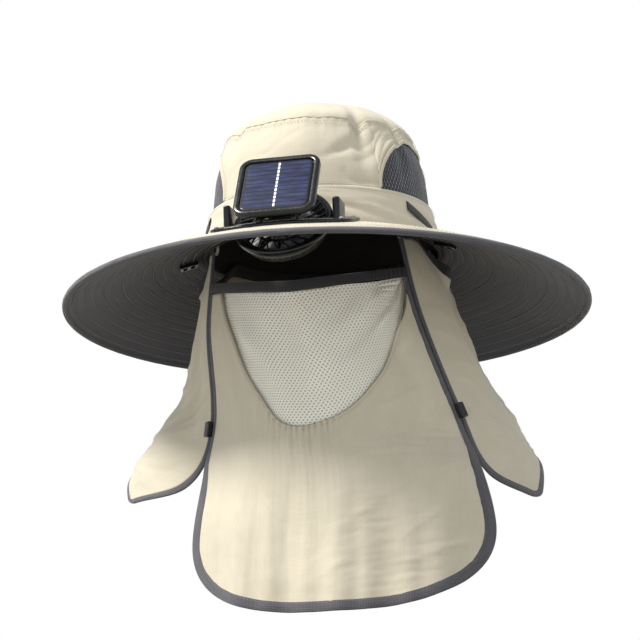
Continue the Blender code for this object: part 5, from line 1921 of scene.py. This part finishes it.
@dataclass
class Cape:
    """The cape that hangs from the crown's foot over the neck and shoulders."""

    wardrobe: Wardrobe
    sewing: Sewing
    crown: Crown
    reach: float = 0.100
    drop: float = 0.200
    sag: float = 0.027
    sag_out: float = 0.012
    sag_deg: float = 88.0
    sag_width: float = 30.0
    corner: float = 0.014
    tape: float = 0.008
    tape_cloth: float = 0.0022
    top_band: float = 0.009
    gap: float = 0.0008
    downs: list = field(default_factory=lambda: spread(0.0, 1.0, 50))
    acrosses: list = field(default_factory=lambda: spread(0.0, 1.0, 80))

    def __post_init__(self) -> None:
        """Measures the cloth's stretch near its free edges."""
        self.rates = {}
        for side, start, step in (("left", 0.0, 0.02), ("right", 1.0, -0.02)):
            self.rates[side] = [
                (self.point(start + step, down) - self.point(start, down)).length / 0.02 for down in self.downs
            ]
        self.falls = [
            (self.point(across, 1.0) - self.point(across, 0.95)).length / 0.05 for across in self.acrosses
        ]

    def rate(self, side: str, down: float) -> float:
        """How many metres the whole width would be, judged beside a front edge."""
        return float(np.interp(down, self.downs, self.rates[side]))

    def fall(self, across: float) -> float:
        """How many metres the whole drop would be, judged beside the hem."""
        return float(np.interp(across, self.acrosses, self.falls))

    def tape_at(self, down: float) -> float:
        """How wide the binding shows at a share of the drop: the front edge turns away above the clips."""
        return self.tape * (0.55 + 0.45 * ease((down - 0.55) / 0.4))

    def rim(self, deg: float) -> float:
        """The radius where the cape's top lies inside the band."""
        inward = 0.002 + self.gap + self.tape_cloth / 2
        share = self.crown.share(0.0)
        return ellipse_radius(deg, self.crown.half_width * share - inward, self.crown.half_length * share - inward)

    def point(self, across: float, down: float) -> Vector:
        """A point of the cape: across runs from the left front edge to the right one."""
        left = across <= 0.5
        levels = CAPE_LEFT if left else CAPE_RIGHT
        side = 1 if left else -1
        share = 2 * across if left else 2 * (1 - across)
        knots = [row.share for row in levels]
        edge = glide(down, knots, [row.edge_deg for row in levels])
        deg = edge + (180.0 - edge) * share
        radii = []
        heights = []
        for row in levels:
            radii.append(self.reach * glide(share, CAPE_STATIONS, row[2:6], flat_end=True))
            heights.append(self.drop * glide(share, CAPE_STATIONS, row[6:10], flat_end=True))
        radii[0] = self.rim(deg)
        radius = glide(down, knots, radii)
        height = glide(down, knots, heights)
        for fold in CAPE_FOLDS_LEFT if left else CAPE_FOLDS_RIGHT:
            if fold.start < down < fold.end:
                grow = sin(pi * (down - fold.start) / (fold.end - fold.start))
                radius += self.reach * fold.depth * hump((deg - fold.place) / fold.width) * grow
        sag = hump((deg - self.sag_deg) / self.sag_width) * (1 - down) ** 4
        radius += self.sag_out * sag ** 3
        height -= self.sag * sag
        return polar(side * deg, radius, height)

    def band_point(self, across: float, share: float) -> Vector:
        """A point of the band along the cape's top, which carries on the cloth's own lean."""
        low = self.point(across, 0.0)
        up = (low - self.point(across, 0.12)).normalized()
        return low + up * (self.gap + self.top_band * share)

    def inside(self, side: str, aside: float, fall: float | None, down: float = 0.0) -> Vector:
        """A point by its distances from a front edge and from the hem.

        Args:
            side: The front edge, left or right.
            aside: The distance from it.
            fall: The distance from the hem, or None to take down instead.
            down: The share of the drop.

        Returns:
            The point.
        """
        if fall is not None:
            down = 1 - fall / self.falls[0 if side == "left" else -1]
        share = aside / self.rate(side, down)
        across = share if side == "left" else 1 - share
        if fall is not None:
            down = 1 - fall / self.fall(across)
        return self.point(across, down)

    def along_hem(self, across: float, fall: float) -> Vector:
        """A point by its share of the width and its distance from the hem."""
        return self.point(across, 1 - fall / self.fall(across))

    def edge_place(self, station: tuple, inset: float) -> Vector:
        """A point of the binding.

        Args:
            station: Where it lies along the outline: a side and a share of the drop, a corner and
                its angle, or the hem and a share of the width.
            inset: The distance inwards.

        Returns:
            The point.
        """
        part, value = station
        if part in ("left", "right"):
            return self.inside(part, inset * self.tape_at(value) / self.tape, None, value)
        if part == "hem":
            return self.along_hem(value, inset)
        reach = self.corner - inset
        aside = self.corner - reach * cos(value)
        fall = self.corner - reach * sin(value)
        return self.inside(part.split("_")[0], aside, fall)

    def stations(self) -> list[tuple]:
        """The stations round the cape's free edge, from the left top to the right top."""
        found = []
        end = {}
        for side, index in (("left", 0), ("right", -1)):
            stop = 1 - self.corner / self.falls[index]
            downs = [(side, stop * k / 70) for k in range(71)]
            turns = [(side + "_corner", pi / 2 * k / 10) for k in range(1, 10)]
            end[side] = self.corner / self.rate(side, 1.0)
            found.append(downs + turns)
        low = end["left"]
        high = 1 - end["right"]
        hem = [("hem", low + (high - low) * k / 220) for k in range(221)]
        return found[0] + hem + list(reversed(found[1]))

    def wrinkles(self, across: float, down: float, u: float, v: float) -> float:
        """The relief of the cape's cloth."""
        soft = 0.0022 * crumple(u, v, 0.055, 0.045, 3.0)
        slant = 0.0012 * crease(u + v * 0.7, v - u * 0.15, 0.050, 0.024, 14.0)
        fine = 0.0004 * crumple(u, v, 0.015, 0.012, 8.0) + 0.00012 * crumple(u, v, 0.005, 0.005, 9.0)
        near = min(across, 1 - across, (1 - down) * 0.5, 0.02 + down) / 0.02
        return (soft - slant + fine) * ease(near * 0.6)

    def build(self) -> None:
        """Builds the cloth, the binding, the top band and the stitches."""
        under = self.tape * 0.8

        def place(across: float, down: float) -> Vector:
            """A point of the cloth, whose edge runs in under the binding."""
            fall = under / self.fall(across)
            down = down * (1 - fall)
            aside = self.tape_at(down) * 0.8
            low = aside / self.rate("left", down)
            high = 1 - aside / self.rate("right", down)
            return self.point(low + (high - low) * across, down)

        grid = ClothGrid(place, spread(0, 1, 240), spread(0, 1, 90)).raised(self.wrinkles)
        piece = Piece("cape_cloth", self.wardrobe.khaki, Slot.KHAKI, ("neck_cape",))
        cloth = walled(piece.place(grid.mesh()), 0.0012)
        stations = self.stations()
        mesh = tape_mesh(self.edge_place, stations, self.tape, self.tape_cloth)
        piece = Piece("cape_edge_tape", self.wardrobe.binding, Slot.BINDING, ("cape_binding",))
        tape = piece.place(mesh)
        mesh = tape_mesh(
            lambda across, distance: self.band_point(across, 1 - distance / self.top_band),
            spread(0, 1, 200), self.top_band, self.tape_cloth,
        )
        piece = Piece("cape_waist_tape", self.wardrobe.band, Slot.BINDING, ("cape_top_band",))
        waist = piece.place(mesh)
        self.stitch(stations)

    def stitch(self, stations: Sequence[tuple]) -> None:
        """Stitches along the inner edge of the binding, on both faces."""
        lines = both_faces(self.edge_place, stations, self.tape, self.tape_cloth / 2 - 0.00025)
        self.sewing.sew(Piece("cape_stitches", self.wardrobe.grey_thread, Slot.BINDING), lines, TAPE_STITCH)

    def front(self, side: int, height: float) -> Vector:
        """The cape's front edge at a height."""
        across = 0.0 if side > 0 else 1.0
        low = 0.0
        high = 0.8
        for _ in range(26):
            middle = (low + high) / 2
            if self.point(across, middle).z > height:
                low = middle
            else:
                high = middle
        return self.point(across, low)


@dataclass
class Mask:
    """The face mask: a mesh insert over the mouth and a skirt of cloth gathered under it."""

    wardrobe: Wardrobe
    sewing: Sewing
    cape: Cape
    reach: float = 0.100
    half_width: float = 0.110
    drop: float = 0.300
    nose: float = 0.056
    temple: float = 0.040
    side_hem: float = 0.232
    hem_power: float = 2.6
    overlap: float = 0.005
    tuck: float = 0.0012
    top_width: float = 0.0078
    tape: float = 0.008
    tape_cloth: float = 0.0022
    gap: float = 0.0008
    clip_height: float = -0.150

    def __post_init__(self) -> None:
        """Measures the mask's side edges once."""
        self.heights = spread(-0.31, -0.02, 160)
        self.edges = {side: np.array([tuple(self.edge_at(side, z)) for z in self.heights]) for side in (1, -1)}

    def section(self, height: float, column: str) -> float:
        """A column of the mask's sections, read at a height."""
        rows = MASK_SECTIONS[::-1]
        knots = [-self.drop * row.height for row in rows]
        return glide(height, knots, [getattr(row, column) for row in rows])

    def edge_at(self, side: int, height: float) -> Vector:
        """The mask's side edge: beside the cape's edge above the clip, free below."""
        word = "left" if side > 0 else "right"
        x = self.reach * self.section(height, word + "_x")
        y = self.reach * self.section(height, word + "_y")
        free = Vector((x, y, height))
        tied = self.cape.front(side, max(height, self.cape.drop * -0.9))
        tied = tied + Vector((-side * 0.25, -1.0, 0)).normalized() * (0.0006 + self.tape_cloth / 2)
        tied.z = height
        return tied.lerp(free, ease((self.clip_height + 0.006 - height) / 0.055))

    def edge(self, side: int, height: float) -> Vector:
        """The measured side edge at a height."""
        x, y = (float(np.interp(height, self.heights, self.edges[side][:, axis])) for axis in (0, 1))
        return Vector((x, y, height))

    def point(self, share: float, height: float, behind: float = 0.0) -> Vector:
        """A point of the mask by its share of the width and its height."""
        left = self.edge(1, height)
        right = self.edge(-1, height)
        middle = self.reach * self.section(height, "middle_y")
        power = self.section(height, "power")
        edge = left if share > 0 else right
        x = (left.x + right.x) / 2 + (left.x - right.x) / 2 * share
        y = middle + (edge.y - middle) * abs(share) ** power
        depth = -height / self.drop
        for fold in MASK_FOLDS:
            if depth > fold.start:
                grow = sin(pi / 2 * min(1.0, (depth - fold.start) / (1 - fold.start)))
                y -= self.reach * fold.depth * hump((share - fold.place) / fold.width) * grow
        spot = Vector((x, y, height))
        return spot - self.out(share, height) * behind if behind else spot

    def out(self, share: float, height: float) -> Vector:
        """The level direction away from the face at a point of the mask."""
        step = self.point(share + 0.02, height) - self.point(share - 0.02, height)
        return Vector((step.y, -step.x, 0)).normalized()

    def top(self, share: float) -> float:
        """The height of the mask's top edge."""
        return -self.nose + (self.nose - self.temple) * abs(share) ** 1.5

    def vent(self, share: float) -> float:
        """The height of the mesh insert's lower edge, or of the top edge beside it."""
        knots = [row[0] for row in INSERT_EDGE]
        if not knots[0] < share < knots[-1]:
            return self.top(share)
        return min(self.top(share), -glide(share, knots, [row[1] for row in INSERT_EDGE]))

    def outline(self, turn: float, inset: float) -> tuple[float, float]:
        """The mask's outline below its top corners as share and height, by a turn from 0 to 1."""
        side = -1 if turn < 0.5 else 1
        part = 2 * min(turn, 1 - turn)
        reach = 1 - inset / self.half_width
        straight = 0.35
        if part < straight:
            start = self.top(reach) - self.gap
            return side * reach, start + (-self.side_hem - start) * part / straight
        angle = pi / 2 * (part - straight) / (1 - straight)
        depth = self.drop - self.side_hem - inset
        across = cos(angle) ** (2 / self.hem_power)
        fall = sin(angle) ** (2 / self.hem_power)
        return side * reach * across, -self.side_hem - depth * fall

    def hem(self, share: float, inset: float) -> float:
        """The height of the mask's lower edge at a share of its width."""
        offset = min(1.0, abs(share) / (1 - inset / self.half_width))
        depth = self.drop - self.side_hem - inset
        return -self.side_hem - depth * (1 - offset ** self.hem_power) ** (1 / self.hem_power)

    def build(self) -> None:
        """Builds the insert, the skirt, the bindings and the stitches."""
        self.build_insert()
        self.build_skirt()
        self.build_tapes()

    def shares(self, beyond: float, half: int) -> list[float]:
        """Shares across the mask: the whole width up to an edge, or the insert and a little beyond it."""
        if beyond > 0.92:
            return spread(-beyond, beyond, 2 * half)
        return spread(INSERT_EDGE[0][0] - beyond, INSERT_EDGE[-1][0] + beyond, 2 * half)

    def build_insert(self) -> None:
        """The mesh insert, which lies behind the skirt's edge."""
        behind = 0.0015 + 0.0003 + self.tuck

        def place(share: float, part: float) -> Vector:
            """A point of the insert."""
            top = self.top(share)
            low = self.vent(share) - self.overlap
            return self.point(share, top + (low - top) * part, behind)

        def relief(share: float, part: float, u: float, v: float) -> float:
            """The insert's soft folds from its top corners towards the chin."""
            fade = sin(pi * min(1.0, part * 0.92 + 0.06)) ** 0.6
            wave = sin((v + u * 0.62) * 2 * pi / 0.030 + 1.6 * crumple(u, v, 0.06, 0.05, 3.0))
            pulled = 0.0027 * wave * ease((share - 0.08) / 0.6) * ease((0.80 - part) / 0.5)
            dent = 0.0060 * hump((share + 0.50) / 0.22) * hump((part - 0.50) / 0.30)
            ridge = 0.0060 * hump((share + 0.16) / 0.24) * ease((0.9 - part) / 0.6)
            soft = 0.0013 * crumple(u, v, 0.045, 0.035, 4.0)
            pucker = 0.0008 * sin(v * 2 * pi / 0.0040) * ease((share - 0.72) / 0.14) * ease((0.7 - part) / 0.2)
            return (pulled - dent + ridge + soft) * fade + pucker

        grid = ClothGrid(place, self.shares(0.015, 64), spread(0, 1, 80)).raised(relief)
        piece = Piece("mask_birdseye", self.wardrobe.birdseye, Slot.BIRDSEYE, ("mask_mesh",))
        cloth = walled(piece.place(grid.mesh()), 0.0009)

    def build_skirt(self) -> None:
        """The cloth below and beside the insert, gathered where it meets the insert's lower edge."""
        inset = self.tape * 0.8
        edge = 1 - inset / self.half_width

        def level_at(share: float, part: float) -> float:
            """The height of a point of the skirt."""
            top = self.vent(share) - 0.0003
            return top + (self.hem(share, inset) - top) * part

        def place(share: float, part: float) -> Vector:
            """A point of the skirt."""
            height = level_at(share, part)
            aside = 0.027 * ease((abs(share) - 0.8) / 0.12) * ease((height + 0.20) / 0.04)
            return self.point(share * (1 + aside), height)

        def relief(share: float, part: float, u: float, v: float) -> float:
            """The gathers, the hanging folds between them and the cloth's crinkles."""
            height = level_at(share, part)
            down = (self.vent(share) - height) / 0.03
            x = share * self.half_width
            middle = ease((0.44 - abs(share + 0.18)) / 0.24)
            phase = x * 2 * pi / 0.0052 + 2.4 * crumple(x, 0.0, 0.016, 1.0, 6.0)
            gather = 0.0009 * sin(phase) * exp(-down * 1.5) * middle
            wide = x * 2 * pi / 0.014 + 2.6 * crumple(x, height * 0.3, 0.03, 0.06, 7.0)
            pleat = 0.0009 * sin(wide) * ease(down / 0.5) * exp(-max(0.0, down - 0.4) * 1.5) * middle
            soft = 0.0019 * crumple(x, height, 0.060, 0.055, 8.0) * ease(down / 1.5)
            level = 0.00034 * crumple(x + height * 0.2, height - x * 0.08, 0.024, 0.0040, 9.0)
            level *= ease((share + 0.15) / 0.5) * ease(down / 0.8)
            upright = 0.00028 * crumple(x, height, 0.0055, 0.045, 10.0) * ease((0.25 - share) / 0.5)
            slant = 0.0006 * crease(x, height - x * 0.55, 0.080, 0.030, 16.0) * ease(down) * ease((share + 0.3) / 0.5)
            fine = 0.00022 * crumple(x, height, 0.013, 0.011, 12.0) + 0.00008 * crumple(x, height, 0.005, 0.005, 13.0)
            rim = ease((1 - part) / 0.16) * ease((edge - abs(share)) / 0.16)
            return (gather + pleat + soft - slant) * rim + level + upright + fine

        grid = ClothGrid(place, self.shares(edge, 150), spread(0, 1, 110)).raised(relief)
        piece = Piece("mask_drape", self.wardrobe.khaki, Slot.KHAKI, ("mask_skirt",))
        self.cloth = walled(piece.place(grid.mesh()), 0.0012)

    def build_tapes(self) -> None:
        """The dark top band, the hem's binding and the stitches."""
        def hem(turn: float, inset: float) -> Vector:
            """A point of the hem's binding, which turns away above the clips."""
            height = self.outline(turn, inset)[1]
            shown = 0.55 + 0.45 * ease((-0.165 - height) / 0.045)
            return self.point(*self.outline(turn, inset * shown))

        turns = spread(0, 1, 300)
        mesh = tape_mesh(hem, turns, self.tape, self.tape_cloth)
        piece = Piece("mask_edge_tape", self.wardrobe.binding, Slot.BINDING, ("mask_hem_binding",))
        tape = piece.place(mesh)

        def band(share: float, distance: float) -> Vector:
            """A point of the top band, with the elastic's small puckers at the right end."""
            spot = self.point(share, self.top(share))
            spot += Vector((0, 0, 0.0003 + self.top_width - distance))
            pucker = 0.0007 * sin(share * self.half_width * 2 * pi / 0.0042) * ease((share - 0.55) / 0.3)
            return spot + Vector((0, -pucker, 0))

        mesh = tape_mesh(band, spread(-1, 1, 240), self.top_width, self.tape_cloth)
        piece = Piece("mask_nose_tape", self.wardrobe.band, Slot.BINDING, ("mask_top_binding",))
        nose = piece.place(mesh)
        lines = both_faces(hem, turns, self.tape, self.tape_cloth / 2 - 0.0002)
        seam = []
        for share in self.shares(0.0, 90):
            spot = self.point(share, self.vent(share) - 0.0030)
            seam.append(spot + self.out(share, self.vent(share)) * 0.0009)
        self.sewing.sew(Piece("insert_stitches", self.wardrobe.tan_thread, Slot.KHAKI), [seam], INSERT_STITCH)
        self.sewing.sew(Piece("mask_stitches", self.wardrobe.grey_thread, Slot.BINDING), lines, TAPE_STITCH)
        self.build_seam()

    def build_seam(self) -> None:
        """The dark overlocked edge that joins the insert to the skirt."""
        def cord(share: float, turn: float) -> Vector:
            """A point round the seam."""
            height = self.vent(share)
            middle = self.point(share, height, 0.0007)
            after, before = (self.point(near, self.vent(near)) for near in (share + 0.01, share - 0.01))
            out = self.out(share, height)
            across = (after - before).normalized().cross(out).normalized()
            return middle + across * (0.0005 * cos(turn)) + out * (0.0008 * sin(turn))

        Piece("mask_seam", self.wardrobe.overlock, Slot.KHAKI).place(tube(cord, self.shares(0.0, 110), 8))


@dataclass
class Fittings:
    """The clips, snaps, side straps and buckles."""

    wardrobe: Wardrobe
    crown: Crown
    nodes: dict
    strap_front: float = 60.0
    strap_back: float = 80.0
    strap_top: float = 0.024
    strap_fall: float = 0.014
    strap_width: float = 0.008

    def build(self) -> None:
        """Builds the fittings of both sides."""
        for side, word in SIDES:
            for kind, name, finish, slot, edge in (
                ("mask_clip_", "clip_body_", self.wardrobe.black, Slot.BLACK, 0.0007),
                ("cape_snap_", "snap_button_", self.wardrobe.snap, Slot.SNAP, 0.0006),
                ("side_buckle_", "ladder_buckle_", self.wardrobe.black, Slot.BLACK, 0.0004),
            ):
                node = kind + word
                piece = Piece(name + word, finish, slot, (node,))
                bevelled(piece.place(copy_of(self.nodes[node])), edge)
            self.build_strap(side, word)

    def build_strap(self, side: int, word: str) -> None:
        """The webbing that comes out of the crown's foot and goes down to the buckle."""
        def place(deg: float, distance: float) -> Vector:
            """A point of the webbing."""
            part = (deg - self.strap_front) / (self.strap_back - self.strap_front)
            height = self.strap_top - self.strap_fall * part - distance
            return self.crown.point(side * deg, height, -(0.00075 + 0.0003))

        stations = spread(self.strap_front, self.strap_back, 30)
        mesh = tape_mesh(place, stations, self.strap_width, 0.0014)
        piece = Piece("side_webbing_" + word, self.wardrobe.webbing, Slot.WEBBING, ("side_strap_" + word,))
        piece.place(mesh)


@dataclass
class Studio:
    """The camera, the light and the floor."""

    azimuth: float = 12.0
    elevation: float = -11.54
    roll: float = -2.01
    distance: float = 1.8
    lens: float = 125.55
    aim_x: float = -0.0043
    aim_z: float = -0.0552
    floor_level: float = -1.05
    sun_power: float = 5.4
    sun_spread: float = 14.0
    sun_turn: float = -57.0
    sun_height: float = 57.0
    sun_colour: Colour = (1.0, 0.975, 0.93)
    sky: tuple[tuple[float, Colour], ...] = (
        (-1.0, (0.06, 0.06, 0.06)),
        (-0.72, (0.10, 0.10, 0.10)),
        (-0.38, (1.36, 1.31, 1.21)),
        (0.0, (1.40, 1.36, 1.29)),
        (0.22, (0.80, 0.84, 0.88)),
        (1.0, (0.50, 0.55, 0.62)),
    )

    def build(self) -> None:
        """Sets the stage."""
        scene = bpy.context.scene
        scene.view_settings.view_transform = "Standard"
        self.build_camera(scene)
        self.build_light(scene)
        self.build_floor(scene)

    def build_camera(self, scene: bpy.types.Scene) -> None:
        """The camera where the photographer stood."""
        turn = radians(self.azimuth)
        lift = radians(self.elevation)
        roll = radians(self.roll)
        target = Vector((self.aim_x * cos(turn), self.aim_x * sin(turn), self.aim_z))
        back = Vector((sin(turn) * cos(lift), -cos(turn) * cos(lift), sin(lift)))
        right = Vector((cos(turn), sin(turn), 0.0))
        up = back.cross(right)
        level = right * cos(roll) + up * sin(roll)
        rise = up * cos(roll) - right * sin(roll)
        lens = bpy.data.cameras.new("camera")
        lens.sensor_width = 36.0
        lens.lens = self.lens
        lens.clip_end = 30.0
        camera = bpy.data.objects.new("camera", lens)
        spot = Matrix((level, rise, back)).transposed().to_4x4()
        spot.translation = target + back * self.distance
        camera.matrix_world = spot
        scene.collection.objects.link(camera)
        scene.camera = camera

    def build_light(self, scene: bpy.types.Scene) -> None:
        """A bright even surround and a soft sun from above the front."""
        world = bpy.data.worlds.new("surround")
        world.use_nodes = True
        nodes = ShaderNodes(world.node_tree)
        aim = nodes.raw("ShaderNodeTexCoord").outputs["Generated"]
        height = nodes.raw("ShaderNodeSeparateXYZ", None, {0: Wire(nodes, aim)}).outputs["Z"]
        place = nodes.node("ShaderNodeMapRange", None, {"Value": Wire(nodes, height), "From Min": -1.0})
        stops = [((level + 1) / 2, colour) for level, colour in self.sky]
        sky = nodes.node("ShaderNodeValToRGB", {"stops": stops}, {0: place})
        surround = nodes.node("ShaderNodeBackground", None, {"Color": sky})
        backdrop = nodes.node("ShaderNodeBackground", None, {"Color": (1.0, 1.0, 1.0)})
        seen = Wire(nodes, nodes.raw("ShaderNodeLightPath").outputs["Is Camera Ray"])
        either = nodes.node("ShaderNodeMixShader", None, {0: seen, 1: surround, 2: backdrop})
        nodes.plug(nodes.tree.nodes["World Output"].inputs["Surface"], either)
        scene.world = world
        sun = bpy.data.lights.new("sun", "SUN")
        sun.energy = self.sun_power
        sun.angle = radians(self.sun_spread)
        sun.color = self.sun_colour
        lamp = bpy.data.objects.new("sun", sun)
        height = radians(self.sun_height)
        towards = polar(self.sun_turn, cos(height), sin(height))
        lamp.matrix_world = towards.to_track_quat("Z", "Y").to_matrix().to_4x4()
        scene.collection.objects.link(lamp)

    def build_floor(self, scene: bpy.types.Scene) -> None:
        """The plain pale floor."""
        mesh = bpy.data.meshes.new("floor")
        reach = 4.0
        level = self.floor_level
        corners = [(-reach, -reach, level), (reach, -reach, level), (reach, reach, level), (-reach, reach, level)]
        mesh.from_pydata(corners, [], [(0, 1, 2, 3)])
        dye = Dye("pale_floor")
        dust = dye.grain(dye.solid(), (3.0, 3.0, 3.0), 3.0)
        dye.paint(Base_Color=dye.mix(dust, (0.56, 0.56, 0.55), (0.62, 0.62, 0.61)), Roughness=0.9)
        mesh.materials.append(dye.material)
        ground = bpy.data.objects.new("floor", mesh)
        ground.visible_diffuse = False
        ground.visible_glossy = False
        scene.collection.objects.link(ground)


def main() -> None:
    """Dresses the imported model."""
    logging.basicConfig(level=logging.INFO, format="%(name)s %(message)s")
    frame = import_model()
    Studio().build()
    wardrobe = Wardrobe()
    sewing = Sewing()
    wheel = Wheel()
    crown = Crown(wardrobe, sewing)
    crown.build()
    brim = Brim(wardrobe, sewing, crown)
    brim.build()
    fan = FanUnit(wardrobe, wheel, brim)
    fan.build()
    SolarPanel(wardrobe, fan).build()
    cape = Cape(wardrobe, sewing, crown)
    cape.build()
    Mask(wardrobe, sewing, cape).build()
    Fittings(wardrobe, crown, frame["nodes"]).build()


if __name__ == "__main__":
    main()
